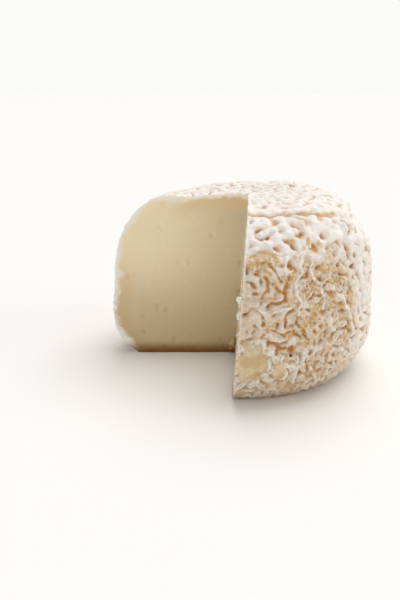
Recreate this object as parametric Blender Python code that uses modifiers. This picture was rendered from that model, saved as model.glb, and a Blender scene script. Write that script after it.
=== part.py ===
"""Crottin: a small round goat's cheese with a wrinkled rind and a wedge cut out of it.

Metres, +Z up. The cheese rests on z = 0, and the middle of its box stands on the Z axis. One
knife cut faces -Y, and the other runs from the middle towards -Y and faces -X.
"""

import math

import bmesh
import bpy
import numpy as np
from mathutils import Vector

MM = 0.001

# Turned body: one rounded curve from the widest place down to the base, a taller one up to the top.
# The base is turned BASE_DROP too low, and the floor cut then makes it flat.
WIDEST_RADIUS = 28.0 * MM
HEIGHT = 36.1 * MM
WIDEST_HEIGHT = 10.8 * MM
BASE_RADIUS = 20.6 * MM
BASE_DROP = 0.35 * MM
TOP_RADIUS = 14.0 * MM
LOWER_ROUNDNESS = 1.95
UPPER_ROUNDNESS = 2.45
LOWER_STEPS = 14
UPPER_STEPS = 26
TURN_STEPS = 96

# The top slopes a little, higher towards +X.
SLOPE_X = 0.041
SLOPE_Y = -0.002

# The cheese's axis stands this far from the middle of the box around the cut and folded cheese.
AXIS_X = 0.1 * MM
AXIS_Y = 0.18 * MM

# Knife cuts.
CORNER_X = 1.25 * MM
CUT_SWING = math.radians(4.1)
CUT_LEAN = math.radians(3.5)
CUTTER_REACH = 60.0 * MM
CUTTER_DEPTH = 5.0 * MM

# Folds of the rind.
SKIN_CELL = 0.34 * MM
SIDE_FOLD = 2.0 * MM
SHOULDER_FOLD = 2.7 * MM
FOLD_DEPTH = 0.95 * MM
TOP_FOLD_DEPTH = 0.4 * MM
FOLD_PASSES = 7
FOLD_GAIN = 6.0
FOLD_BIAS = 0.38
FOLD_SEED = 3
SIZE_SEED = 8
DEPTH_SEED = 19
LUMP_SEED = 11
LUMP_SPAN = 15.0 * MM
LUMP_HEIGHT = 0.22 * MM

# The flat round place that the cheese rests on; the furrows begin past its rim.
FLAT_RADIUS = 17.5 * MM
FLAT_RIM = 2.5 * MM

# Marks of the drying rack: straight creases across the top, turned a little from the X axis.
RACK_TURN = math.radians(12.5)
RACK_MARKS = ((-16.4 * MM, -1.0), (-16.4 * MM, 1.0), (13.5 * MM, -1.0), (6.0 * MM, -1.0))
RACK_WIDTH = 0.55 * MM
RACK_DEPTH = 0.55 * MM
RACK_LOWEST = 32.5 * MM

# Smooth spots on the side: azimuth in degrees, height, half width, half height.
SMOOTH_SPOTS = (
    (-88.5, 9.3 * MM, 2.9 * MM, 3.8 * MM),
    (-78.0, 7.4 * MM, 1.2 * MM, 1.5 * MM),
    (118.0, 15.0 * MM, 2.6 * MM, 3.4 * MM),
)

# Triangles kept of the folded skin, before the wedge is cut out.
KEPT_TRIANGLES = 14000

RIND_COLOUR = (0.80, 0.72, 0.62, 1.0)
RIND_ROUGHNESS = 0.62


def clear_scene():
    """Remove every object that is in the scene."""
    for thing in list(bpy.data.objects):
        bpy.data.objects.remove(thing, do_unlink=True)


def turned_profile():
    """Points (radius, height) from the middle of the top, down the outer side, to the middle of the base."""
    outline = [(0.0, HEIGHT)]
    for step in range(UPPER_STEPS):
        turn = 0.5 * math.pi * (1.0 - step / UPPER_STEPS)
        radius = TOP_RADIUS + (WIDEST_RADIUS - TOP_RADIUS) * math.cos(turn) ** (2 / UPPER_ROUNDNESS)
        height = WIDEST_HEIGHT + (HEIGHT - WIDEST_HEIGHT) * math.sin(turn) ** (2 / UPPER_ROUNDNESS)
        outline.append((radius, height))
    for step in range(LOWER_STEPS + 1):
        turn = 0.5 * math.pi * (1.0 - step / LOWER_STEPS)
        radius = BASE_RADIUS + (WIDEST_RADIUS - BASE_RADIUS) * math.sin(turn) ** (2 / LOWER_ROUNDNESS)
        rise = (WIDEST_HEIGHT + BASE_DROP) * (1.0 - math.cos(turn) ** (2 / LOWER_ROUNDNESS))
        outline.append((radius, rise - BASE_DROP))
    outline.append((0.0, -BASE_DROP))
    return outline


def turned_body(collection):
    """The plain cheese: the profile turned about Z, then meshed evenly in small square cells."""
    mesh = bpy.data.meshes.new("profile")
    corners = [(radius, 0.0, height) for radius, height in turned_profile()]
    mesh.from_pydata(corners, [(i, i + 1) for i in range(len(corners) - 1)], [])
    body = bpy.data.objects.new("crottin", mesh)
    collection.objects.link(body)
    turn = body.modifiers.new("turn", "SCREW")
    turn.steps = TURN_STEPS
    turn.render_steps = TURN_STEPS
    turn.use_merge_vertices = True
    turn.merge_threshold = 0.01 * MM
    cells = body.modifiers.new("cells", "REMESH")
    cells.mode = "VOXEL"
    cells.voxel_size = SKIN_CELL
    apply_modifiers(body)
    return body


def apply_modifiers(thing):
    """Put the evaluated mesh in the place of the object's own mesh and drop its modifiers."""
    graph = bpy.context.evaluated_depsgraph_get()
    done = bpy.data.meshes.new_from_object(thing.evaluated_get(graph))
    old = thing.data
    thing.modifiers.clear()
    thing.data = done
    bpy.data.meshes.remove(old)


def step_up(low, high, value):
    """0 below low, 1 above high, and a smooth rise between them."""
    part = np.clip((value - low) / (high - low), 0.0, 1.0)
    return part * part * (3.0 - 2.0 * part)


def waves(points, span, seed, count=60):
    """Uneven field about 0 whose humps are roughly half a span across: many plane waves, summed."""
    draw = np.random.default_rng(seed)
    total = np.zeros(len(points))
    for _ in range(count):
        way = draw.normal(size=3)
        way /= np.linalg.norm(way)
        pace = 2.0 * math.pi / (span * (1.0 + draw.uniform(-0.2, 0.2)))
        total += np.cos(points @ way * pace + draw.uniform(0.0, 2.0 * math.pi))
    return total * math.sqrt(2.0 / count)


class Skin:
    """A mesh's points and normals, with a way to even out a value over its surface."""

    EDGE_SHARE = 4.0
    DIAGONAL_SHARE = 1.0
    PACE = 0.8

    def __init__(self, mesh):
        count = len(mesh.vertices)
        flat = np.empty(count * 3, np.float32)
        mesh.vertices.foreach_get("co", flat)
        self.points = flat.reshape(-1, 3).astype(np.float64)
        flat = np.empty(count * 3, np.float32)
        mesh.vertex_normals.foreach_get("vector", flat)
        self.normals = flat.reshape(-1, 3).astype(np.float64)
        ends = np.empty(len(mesh.edges) * 2, np.int32)
        mesh.edges.foreach_get("vertices", ends)
        ends = ends.reshape(-1, 2)
        across = np.array([face.vertices[:] for face in mesh.polygons if len(face.vertices) == 4])
        diagonals = np.concatenate([across[:, (0, 2)], across[:, (1, 3)]])
        pairs = np.concatenate([ends, ends[:, ::-1], diagonals, diagonals[:, ::-1]])
        share = np.full(len(pairs), self.DIAGONAL_SHARE)
        share[: 2 * len(ends)] = self.EDGE_SHARE
        order = np.argsort(pairs[:, 0], kind="stable")
        self.other = pairs[order, 1]
        self.share = share[order]
        self.first = np.searchsorted(pairs[order, 0], np.arange(count))
        self.total = np.add.reduceat(self.share, self.first)
        gaps = self.points[ends[:, 0]] - self.points[ends[:, 1]]
        edge = float(np.linalg.norm(gaps, axis=1).mean())
        self.spread = 0.6 * self.PACE * edge**2

    def even(self, value, reach, local=1.0):
        """Spread a value over the skin by about reach; local is the share of it at each point."""
        pace = self.PACE * local**2
        for _ in range(max(1, round(reach**2 / self.spread))):
            around = np.add.reduceat(self.share * value[self.other], self.first) / self.total
            value = value + pace * (around - value)
        return value


def smooth_spots(points):
    """1 in the middle of each smooth spot of the side, 0 outside them."""
    spot = np.zeros(len(points))
    turn = np.arctan2(points[:, 1], points[:, 0])
    for azimuth, height, half_width, half_height in SMOOTH_SPOTS:
        away = (turn - math.radians(azimuth) + math.pi) % (2.0 * math.pi) - math.pi
        reach = np.hypot(away * WIDEST_RADIUS / half_width, (points[:, 2] - height) / half_height)
        spot = np.maximum(spot, 1.0 - step_up(0.8, 1.25, reach))
    return spot


def fold_pattern(skin):
    """0 at the bottom of the rind's furrows and 1 on its folds.

    A field of uneven humps is made sharper over and over: each pass takes away the value's
    wider mean, which leaves winding folds of one width with short forked furrows between them.
    """
    points = skin.points
    radius = np.hypot(points[:, 0], points[:, 1])
    height = points[:, 2]
    shoulder = step_up(25.0 * MM, 29.0 * MM, height) * step_up(11.0 * MM, 17.0 * MM, radius)
    length = SIDE_FOLD + (SHOULDER_FOLD - SIDE_FOLD) * shoulder
    length = length * (1.0 + 0.1 * waves(points, 9.0 * MM, SIZE_SEED, 24))
    longest = 1.25 * SHOULDER_FOLD
    local = np.clip(length / longest, 0.3, 1.0)
    value = waves(points, SIDE_FOLD, FOLD_SEED)
    for _ in range(FOLD_PASSES):
        near = skin.even(value, 0.144 * longest, local)
        far = skin.even(near, 0.285 * longest, local)
        value = np.tanh(FOLD_GAIN * (near - far) + FOLD_BIAS)
    value = skin.even(value, 0.3 * MM)
    low, high = np.percentile(value, (3.0, 97.0))
    return np.clip((value - low) / (high - low), 0.0, 1.0)


def rack_marks(points):
    """Depth, 0 to 1, of the straight creases that the drying rack pressed into the top."""
    along = points[:, 0] * math.cos(RACK_TURN) + points[:, 1] * math.sin(RACK_TURN)
    across = points[:, 1] * math.cos(RACK_TURN) - points[:, 0] * math.sin(RACK_TURN)
    depth = np.zeros(len(points))
    for offset, side in RACK_MARKS:
        wander = 0.25 * MM * waves(points, 12.0 * MM, 5, 16)
        line = np.exp(-(((across - offset - wander) / RACK_WIDTH) ** 2))
        depth = np.maximum(depth, line * step_up(-1.0 * MM, 1.0 * MM, along * side))
    return depth * step_up(RACK_LOWEST - 1.5 * MM, RACK_LOWEST, points[:, 2])


def fold_skin(body):
    """Press the furrows, rack marks and broad unevenness into the plain cheese."""
    skin = Skin(body.data)
    points = skin.points
    height = points[:, 2]
    radius = np.hypot(points[:, 0], points[:, 1])
    on_top = step_up(0.4, 0.95, skin.normals[:, 2])
    above_flat = np.maximum(step_up(FLAT_RADIUS, FLAT_RADIUS + FLAT_RIM, radius), height > 1.0 * MM)
    depth = FOLD_DEPTH + (TOP_FOLD_DEPTH - FOLD_DEPTH) * on_top
    depth = depth * (1.0 + 0.3 * waves(points, 7.0 * MM, DEPTH_SEED, 24))
    depth = np.clip(depth, 0.0, 1.3 * FOLD_DEPTH) * (1.0 - 0.85 * smooth_spots(points)) * above_flat
    push = -depth * (1.0 - fold_pattern(skin) ** 0.8)
    push -= RACK_DEPTH * rack_marks(points)
    push += LUMP_HEIGHT * waves(points, LUMP_SPAN, LUMP_SEED, 24) * step_up(0.0, 6.0 * MM, height)
    moved = points + skin.normals * push[:, None]
    moved[:, 2] *= 1.0 + (SLOPE_X * moved[:, 0] + SLOPE_Y * moved[:, 1]) / HEIGHT
    body.data.vertices.foreach_set("co", moved.astype(np.float32).ravel())
    body.data.update()


def block_cutter(name, place, collection):
    """A six-sided cutter: place gives the spot of each corner of a cube from the signs of its sides."""
    mesh = bpy.data.meshes.new(name)
    block = bmesh.new()
    bmesh.ops.create_cube(block, size=2.0)
    for corner in block.verts:
        corner.co = place(*corner.co)
    block.to_mesh(mesh)
    block.free()
    cutter = bpy.data.objects.new(name, mesh)
    collection.objects.link(cutter)
    cutter.hide_render = True
    cutter.display_type = "WIRE"
    return cutter


def wedge_corner(side_x, side_y, side_z):
    """The missing wedge: one face in y = 0, one that swings and leans from the middle."""
    height = CUTTER_REACH if side_z > 0.0 else -CUTTER_DEPTH
    depth = 0.0 if side_y > 0.0 else -CUTTER_REACH
    if side_x < 0.0:
        return Vector((-CUTTER_REACH, depth, height))
    across = CORNER_X + (height - HEIGHT) * math.tan(CUT_LEAN) + depth * math.tan(CUT_SWING)
    return Vector((across, depth, height))


def floor_corner(side_x, side_y, side_z):
    """All that is below the floor."""
    height = 0.0 if side_z > 0.0 else -CUTTER_DEPTH
    return Vector((side_x * CUTTER_REACH, side_y * CUTTER_REACH, height))


def cut_away(body, cutter):
    """Cut one block out of the body."""
    cut = body.modifiers.new(cutter.name, "BOOLEAN")
    cut.operation = "DIFFERENCE"
    cut.solver = "EXACT"
    cut.object = cutter


def thin_out(body):
    """Keep only the triangles that the folded skin's form needs."""
    thin = body.modifiers.new("thin", "DECIMATE")
    thin.ratio = KEPT_TRIANGLES / (2.0 * len(body.data.polygons))
    apply_modifiers(body)


def rind_material():
    """Ivory rind, soft and dull."""
    material = bpy.data.materials.new("rind")
    material.use_nodes = True
    shader = material.node_tree.nodes["Principled BSDF"]
    shader.inputs["Base Color"].default_value = RIND_COLOUR
    shader.inputs["Roughness"].default_value = RIND_ROUGHNESS
    material.diffuse_color = RIND_COLOUR
    return material


def new_collection(name):
    """A collection of this name in the scene."""
    collection = bpy.data.collections.new(name)
    bpy.context.scene.collection.children.link(collection)
    return collection


def stand_on_axis(things, collection):
    """Hang the cheese and its cutters on an empty at the foot of the cheese's axis."""
    axis = bpy.data.objects.new("axis", None)
    axis.location = (AXIS_X, AXIS_Y, 0.0)
    collection.objects.link(axis)
    for thing in things:
        thing.parent = axis


def main():
    clear_scene()
    parts = new_collection("crottin")
    cutters = new_collection("cutters")
    body = turned_body(parts)
    fold_skin(body)
    body.data.materials.clear()
    body.data.materials.append(rind_material())
    thin_out(body)
    wedge = block_cutter("wedge_cutter", wedge_corner, cutters)
    below_floor = block_cutter("floor_cutter", floor_corner, cutters)
    cut_away(body, wedge)
    cut_away(body, below_floor)
    stand_on_axis((body, wedge, below_floor), parts)


if __name__ == "__main__":
    main()
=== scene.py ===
"""Crottin: the looks of a small round goat's cheese with a wrinkled rind and a wedge cut out of it.

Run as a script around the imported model. The sidebar of the 3D view gets a Crottin tab that holds
the sizes and colours and makes each piece again. Metres, +Z up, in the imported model's frame.
"""

import math

import bpy
import numpy as np
from bpy.props import FloatProperty, FloatVectorProperty, PointerProperty
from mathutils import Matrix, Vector
from mathutils.bvhtree import BVHTree


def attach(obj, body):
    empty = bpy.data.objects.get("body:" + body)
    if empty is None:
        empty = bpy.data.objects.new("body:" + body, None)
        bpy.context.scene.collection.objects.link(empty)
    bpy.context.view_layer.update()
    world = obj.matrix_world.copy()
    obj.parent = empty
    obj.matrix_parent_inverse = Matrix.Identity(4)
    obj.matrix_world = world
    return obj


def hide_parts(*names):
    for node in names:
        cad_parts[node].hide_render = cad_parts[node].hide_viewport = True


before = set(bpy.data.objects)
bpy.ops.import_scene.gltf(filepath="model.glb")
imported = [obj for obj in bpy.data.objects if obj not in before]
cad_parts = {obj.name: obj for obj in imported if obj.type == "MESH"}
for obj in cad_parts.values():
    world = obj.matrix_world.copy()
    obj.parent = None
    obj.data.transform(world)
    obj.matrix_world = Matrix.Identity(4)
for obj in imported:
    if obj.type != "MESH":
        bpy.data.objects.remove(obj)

bl_info = {
    "name": "Crottin",
    "version": (1, 0, 0),
    "blender": (4, 5, 0),
    "location": "View3D > Sidebar > Crottin",
    "description": "A small round goat's cheese with a wrinkled rind and a wedge cut out of it",
    "category": "Object",
}

MM = 0.001
NODE = "crottin"
CHEESE = "crottin_cheese"
PASTE_INDEX = 1

# Turned body. The base is turned BASE_DROP too low and then flattened on the floor.
WIDEST_RADIUS = 28.0 * MM
HEIGHT = 36.1 * MM
WIDEST_HEIGHT = 10.8 * MM
BASE_RADIUS = 20.6 * MM
BASE_DROP = 0.35 * MM
TOP_RADIUS = 14.0 * MM
LOWER_ROUNDNESS = 1.95
UPPER_ROUNDNESS = 2.45
LOWER_STEPS = 14
UPPER_STEPS = 26
TURN_STEPS = 96
SLOPE_X = 0.041
SLOPE_Y = -0.002
AXIS = Vector((0.1 * MM, 0.18 * MM, 0.0))

# Knife cuts: one face looks towards -Y, the other runs from the middle towards -Y and looks towards -X.
CORNER_X = 1.25 * MM
CUT_SWING = math.radians(4.1)
CUT_LEAN = math.radians(3.5)
KNIFE_REACH = 31.0 * MM
KNIFE_TOP = 40.0 * MM
KNIFE_LOW = -3.0 * MM
KNIFE_CUTS = 89
ON_FACE = 0.001 * MM

# Unevenness of the cuts: its fields (span of their humps, seed, number of waves) and its pits' depth.
CURD_HUMPS = (9.0 * MM, 51, 24)
CURD_GRAIN = (1.7 * MM, 52, 40)
CURD_PITS = (1.9 * MM, 53, 40)
CURD_CRACKS = (5.0 * MM, 54, 30)
CURD_CRACK_PLACES = (6.0 * MM, 55, 30)
CURD_PIT_DEPTH = 0.35 * MM

# Folds of the rind: their lengths on each part of it, and how a pass sharpens them.
SKIN_CELL = 0.26 * MM
SIDE_FOLD = 1.62 * MM
SHOULDER_FOLD = 2.55 * MM
LOW_FOLD = 1.4 * MM
GOLD_FOLD = 1.25 * MM
FLAT_FOLD = 1.8 * MM
LONGEST_FOLD = 1.25 * SHOULDER_FOLD
FOLD_PASSES = 7
FOLD_GAIN = 6.0
FOLD_BIAS = 0.48
NEAR_SHARE = 0.144
FAR_SHARE = 0.285
LAST_EVENING = 0.42 * MM

# Thin crests on the folds and in the golden places: span of their lines, seed and half width. Their
# sway is how far and over what span they wind.
CREST_SWAY = (0.12 * MM, 1.3 * MM)
CREST_LINES = (2.3 * MM, 81, 0.19 * MM)
GOLD_CREST_LINES = (1.5 * MM, 91, 0.16 * MM)

# Bands of the body, each from where it begins to where it is full.
TOP_TURN = (0.4, 0.95)
SHOULDER_RISE = (25.0 * MM, 30.0 * MM)
LONG_FOLD_RISE = (25.0 * MM, 29.0 * MM)
LONG_FOLD_RADIUS = (11.0 * MM, 17.0 * MM)
LOW_SIDE = (20.0 * MM, 10.0 * MM)
LOW_FOLD_SIDE = (20.0 * MM, 11.0 * MM)
LOW_PULL_SIDE = (20.0 * MM, 12.0 * MM)
RIGHT_SIDE = (16.0 * MM, 22.0 * MM)
KNOBBLY_SIDE = (9.0 * MM, 18.0 * MM)
KNOBBLY_RISE = (20.0 * MM, 26.0 * MM)
KNOBBLY_END = (34.5 * MM, 32.0 * MM)
FLAT_BASE = (17.5 * MM, 20.0 * MM)
BASE_HEIGHT = 1.0 * MM
LUMP_RISE = (0.0, 6.0 * MM)
KNIFE_EDGE_WIDTH = 0.42 * MM

# Uneven fields: the span of their humps, their seed and, where it isn't the usual one, their number
# of waves.
FIRST_WAVES = (1.8 * MM, 3)
LENGTH_WAVES = (7.0 * MM, 8, 24)
DEPTH_WAVES = (7.0 * MM, 19, 24)
REACH_WAVES = (3.2 * MM, 33, 30)
PULL_WAVES = (5.5 * MM, 36, 24)
GOLD_WAVES = (5.0 * MM, 31, 24)
CREST_WAVES = (4.5 * MM, 35, 24)
SPOT_WAVES = (4.2 * MM, 61, 24)
SPOT_RIM_WAVES = (1.9 * MM, 62, 24)
RACK_WAVES = (9.0 * MM, 5, 16)
RACK_DEPTH_WAVES = (9.0 * MM, 6, 16)

# Shares of a fold's depth that are lost in some places, its most over the panel's depth, and the
# powers that round the folds in form and in colour.
LOST_WHERE_BARE = 0.85
LOST_WHERE_GOLDEN = 0.5
LOST_WHERE_FLAT = 0.3
LOST_LOW_DOWN = 0.3
LOST_UNDER_RACK = 0.5
DEEPEST = 1.3
FOLD_POWER = 1.3
TONE_POWER = 1.2

# Strength of the crests by where they are, and the height of crest that leaves the skin in place.
GOLD_CREST = 0.75
FOLD_RIM_CREST = 0.85
LIP_CREST = 0.6
BARE_RIM_CREST = 0.8
KNIFE_CREST = 0.9
CREST_REST = 0.3
FOLD_RIM = (0.7, 0.17)
BARE_EDGE = (0.3, 0.16)

# Relief all over the rind: height, then the field that it follows. Pebbles are higher in flat places,
# and their two heights are in mm.
LUMPS = (0.22 * MM, (15.0 * MM, 11, 24))
KNOBS = (0.3 * MM, (4.4 * MM, 53, 30))
GRAINS = (0.03 * MM, (0.8 * MM, 48, 40))
SHOULDER_GRAINS = (0.09 * MM, (1.35 * MM, 57, 40))
PEBBLES = (1.7 * MM, 47, 40)
PEBBLE_HEIGHT = 0.05
FLAT_PEBBLE_HEIGHT = 0.08

# How far the folds lean over their furrows, for a slope of one in one millimetre.
FOLD_LEAN = 0.07 * MM * MM
MOST_TRIANGLES = 192000

# Straight creases that the drying rack left on the top, turned a little from the X axis.
RACK_TURN = math.radians(12.5)
RACK_MARKS = (
    # distance from the middle, which way it runs from its start, where it starts
    (13.5 * MM, -1.0, 0.0),
    (9.6 * MM, -1.0, -6.0 * MM),
    (6.0 * MM, -1.0, 0.0),
    (2.4 * MM, -1.0, -9.0 * MM),
)
RACK_BEND = (
    # the front crease, pressed at the shoulder: X and Y in mm of its points
    (-0.5, -17.2), (5.0, -17.45), (7.9, -17.2), (10.8, -16.6),
    (13.8, -15.4), (17.0, -13.3), (19.4, -10.9), (21.4, -8.0),
)
RACK_BEND_END = (20.5 * MM, 15.5 * MM)
RACK_WIDTH = 0.45 * MM
RACK_BEND_WIDTH = 1.9 * RACK_WIDTH
RACK_DEPTH = 0.88 * MM
RACK_WANDER = 0.22 * MM
RACK_SWAY = (RACK_WANDER, 3.4 * MM, 15, 20)
RACK_RISE = (30.0 * MM, 31.5 * MM)

# Ovals on the side are a little squarer than ellipses. The two numbers of a rim say how far out, in
# half widths, a place begins to fade and where it ends.
SPOT_POWER = 2.6
GOLD_RIM = (0.45, 1.25)
FLAT_RIM = (0.6, 1.3)
BARE_RIM = (0.82, 1.16)

# Smooth spots on the side: azimuth in degrees, height, half width, half height.
SMOOTH_SPOTS = (
    (-88.8, 9.2 * MM, 2.9 * MM, 3.5 * MM),
    (-78.0, 7.4 * MM, 1.2 * MM, 1.5 * MM),
    (118.0, 15.0 * MM, 2.6 * MM, 3.4 * MM),
)

# Golden places, where the rind is finely crinkled and less bloomed: azimuth, height, half width,
# half height, strength.
GOLD_SPOTS = (
    (-62.0, 20.8 * MM, 8.8 * MM, 7.9 * MM, 1.0),
    (-84.5, 28.3 * MM, 4.6 * MM, 2.0 * MM, 0.8),
    (-47.0, 16.0 * MM, 4.0 * MM, 4.0 * MM, 0.5),
    (38.0, 21.0 * MM, 6.0 * MM, 7.0 * MM, 0.8),
    (128.0, 19.0 * MM, 6.5 * MM, 6.0 * MM, 0.9),
    (-152.0, 24.0 * MM, 3.5 * MM, 5.0 * MM, 0.7),
)

# Flatter places, where the furrows are few and narrow.
FLAT_SPOTS = (
    (-83.5, 20.2 * MM, 5.6 * MM, 6.2 * MM, 1.0),
    (-85.0, 28.2 * MM, 3.4 * MM, 1.9 * MM, 0.9),
    (-20.0, 17.0 * MM, 5.0 * MM, 6.0 * MM, 0.6),
    (60.0, 22.0 * MM, 6.0 * MM, 6.5 * MM, 0.8),
    (105.0, 24.0 * MM, 5.0 * MM, 5.0 * MM, 0.7),
    (152.0, 15.0 * MM, 6.5 * MM, 6.0 * MM, 0.9),
)

# Courses of single furrows and ridges on the front, given by where the camera sees them: in which
# enlarged part of its view, half width in mm, then how far right and down in that part each point is.
VIEW_SIZE = (400.0, 600.0)
VIEW_FOCAL = 680.2
VIEW_ENLARGED = 12.0
VIEW_STEPS = (200, 100)
VIEW_DEPTHS = (90.0 * MM, 190.0 * MM, 201)
VIEW_PASSES = 4
VIEW_PARTS = {"top": (232.0, 190.0), "middle": (236.0, 246.0), "low": (232.0, 318.0)}
SEEN_FURROWS = (
    ("middle", 0.22, (640, 370), (612, 440), (600, 500), (588, 570), (596, 650)),
    ("middle", 0.17, (596, 650), (560, 688), (480, 692), (410, 700), (370, 738)),
    ("middle", 0.17, (480, 508), (520, 540), (580, 575)),
    ("middle", 0.20, (348, 380), (382, 405), (368, 470), (358, 545)),
    ("middle", 0.13, (358, 545), (325, 600), (320, 640)),
    ("middle", 0.15, (398, 228), (440, 275), (478, 325), (500, 395), (540, 425)),
    ("middle", 0.30, (620, 245), (655, 262), (690, 275)),
    ("middle", 0.19, (695, 750), (640, 790), (612, 830), (600, 864), (590, 990)),
    ("middle", 0.14, (262, 780), (300, 830), (335, 862)),
    ("low", 0.15, (795, 60), (835, 130), (885, 200), (930, 260)),
    ("low", 0.13, (480, 140), (530, 180), (600, 215), (640, 235)),
    ("low", 0.12, (640, 210), (700, 175), (755, 150)),
    ("low", 0.18, (345, 85), (372, 80)),
    ("low", 0.18, (270, 155), (238, 185)),
    ("low", 0.16, (390, 200), (345, 245)),
    ("low", 0.20, (430, 320), (470, 290), (520, 320), (560, 370)),
    ("low", 0.22, (560, 370), (620, 385), (680, 365), (738, 385), (735, 440)),
    ("low", 0.19, (556, 380), (538, 445)),
    ("low", 0.16, (832, 480), (815, 530), (770, 575)),
    ("low", 0.12, (600, 560), (650, 600), (680, 650), (690, 700)),
    ("low", 0.13, (250, 310), (285, 350)),
    ("middle", 0.16, (250, 200), (300, 212), (345, 195)),
    ("middle", 0.25, (243, 335), (262, 318)),
    ("middle", 0.26, (200, 478), (232, 492)),
    ("middle", 0.20, (180, 568), (238, 574)),
    ("middle", 0.18, (852, 240), (870, 300), (862, 365)),
    ("middle", 0.18, (850, 375), (765, 398), (735, 440)),
    ("middle", 0.20, (1000, 375), (1055, 415)),
    ("middle", 0.18, (1040, 510), (1072, 475)),
    ("middle", 0.16, (940, 570), (925, 625), (885, 660)),
    ("middle", 0.26, (1050, 785), (1056, 800)),
    ("low", 0.24, (1080, 90), (1085, 100)),
    ("low", 0.20, (1000, 180), (1022, 184)),
    ("low", 0.25, (995, 305), (1010, 320)),
    ("low", 0.20, (1055, 405), (1022, 445)),
    ("low", 0.30, (815, 662), (828, 680)),
    ("low", 0.22, (530, 768), (580, 772)),
    ("low", 0.18, (318, 868), (330, 872)),
    ("low", 0.17, (548, 858), (556, 862)),
    ("low", 0.20, (1195, 548), (1210, 555)),
    ("low", 0.14, (345, 762), (375, 805)),
    ("top", 0.30, (985, 655), (985, 680)),
    ("top", 0.38, (815, 385), (860, 412), (915, 395)),
    ("top", 0.26, (820, 515), (875, 525)),
    ("top", 0.26, (1070, 545), (1100, 570)),
    ("top", 0.30, (500, 690), (560, 735)),
    ("top", 0.26, (1312, 650), (1308, 690)),
    ("top", 0.28, (265, 500), (310, 470)),
    ("top", 0.25, (430, 575), (495, 500)),
    ("top", 0.28, (1385, 560), (1370, 480)),
    ("top", 0.26, (1245, 650), (1235, 600)),
    ("top", 0.24, (1490, 490), (1480, 470)),
)
SEEN_RIDGES = (
    ("top", 0.15, (355, 575), (400, 625), (450, 680), (500, 735), (560, 775), (600, 790), (640, 745),
     (700, 735), (800, 745)),
    ("middle", 0.14, (850, 0), (855, 40), (800, 100), (745, 150)),
    ("middle", 0.16, (600, 150), (585, 220), (582, 300), (600, 340)),
    ("middle", 0.20, (790, 180), (765, 250), (797, 320), (785, 362), (735, 395), (712, 470), (710, 540),
     (735, 620), (778, 680), (775, 740), (750, 830)),
    ("middle", 0.14, (1040, 60), (1020, 130), (955, 165)),
    ("middle", 0.15, (905, 130), (925, 190), (895, 260), (915, 340), (935, 400), (1020, 435),
     (1030, 500), (1025, 560), (1055, 620), (1050, 700), (1050, 760)),
    ("middle", 0.18, (1110, 480), (1180, 540), (1250, 600), (1280, 690), (1320, 780), (1355, 850)),
    ("middle", 0.16, (700, 730), (640, 760), (560, 770), (460, 780), (400, 812), (330, 800), (290, 770)),
    ("low", 0.14, (120, 378), (240, 385), (330, 402), (400, 432), (440, 440)),
    ("low", 0.14, (440, 500), (455, 560), (430, 625), (360, 660), (300, 690), (300, 770)),
    ("low", 0.13, (430, 440), (465, 385), (490, 405), (490, 480), (500, 540)),
    ("low", 0.14, (640, 620), (665, 660), (650, 712), (600, 738), (510, 748), (440, 742)),
    ("low", 0.13, (360, 690), (440, 672), (490, 655), (510, 620)),
    ("low", 0.12, (1110, 180), (1105, 240), (1150, 310)),
    ("low", 0.13, (1180, 0), (1190, 110), (1230, 160)),
    ("low", 0.12, (1270, 260), (1280, 330), (1340, 390)),
    ("low", 0.13, (590, 480), (585, 555), (640, 600), (710, 575), (760, 580), (800, 530), (795, 470)),
    ("low", 0.12, (940, 600), (980, 680), (1010, 740)),
    ("low", 0.12, (775, 640), (750, 720), (735, 790)),
    ("low", 0.13, (860, 380), (870, 470), (850, 560), (860, 640)),
    ("low", 0.12, (930, 470), (930, 560), (960, 620)),
    ("middle", 0.12, (1360, 300), (1370, 480), (1390, 600), (1440, 680)),
    ("middle", 0.12, (1180, 340), (1290, 380), (1300, 480), (1260, 600)),
    ("middle", 0.30, (1430, 30), (1450, 160), (1432, 300), (1462, 420), (1442, 560)),
    ("middle", 0.30, (1525, 40), (1532, 200), (1510, 380), (1548, 560), (1530, 760)),
    ("middle", 0.18, (1330, 60), (1345, 180), (1300, 260)),
    ("low", 0.15, (1400, 40), (1440, 160), (1400, 260), (1430, 330)),
    ("low", 0.15, (1530, 120), (1500, 230), (1470, 330)),
    ("top", 0.22, (1330, 420), (1345, 540), (1390, 590), (1440, 560), (1430, 430)),
)

# Courses on the sides and the back: half width in mm, then azimuth in degrees and height in mm of
# each point.
FURROWS = (
    (0.17, (46.0, 24.0), (49.6, 20.8), (47.9, 17.2)),
    (0.17, (140.0, 12.4), (144.7, 9.0), (142.0, 6.2)),
    (0.18, (158.0, 19.0), (153.7, 16.8), (154.6, 13.2)),
    (0.16, (66.0, 26.0), (62.4, 22.5), (63.5, 19.0), (60.0, 17.2)),
    (0.15, (-14.0, 22.0), (-17.8, 18.5), (-16.5, 15.0), (-21.0, 12.6)),
    (0.17, (-146.0, 14.0), (-150.4, 11.5), (-148.8, 8.2)),
)
RIDGES = (
    (0.16, (44.0, 25.0), (47.6, 21.8), (45.9, 18.2), (49.0, 14.0)),
    (0.17, (134.0, 22.4), (137.7, 19.0), (135.0, 15.2), (139.0, 11.0)),
    (0.15, (-28.0, 24.0), (-24.4, 20.5), (-26.8, 16.0), (-22.0, 12.5)),
    (0.15, (98.0, 20.0), (94.0, 16.6), (96.5, 12.5)),
    (0.15, (-158.0, 20.0), (-154.0, 16.6), (-156.5, 12.5)),
)
FURROW_CUT = 0.34 * MM
RIDGE_RISE = 0.28 * MM

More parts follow.
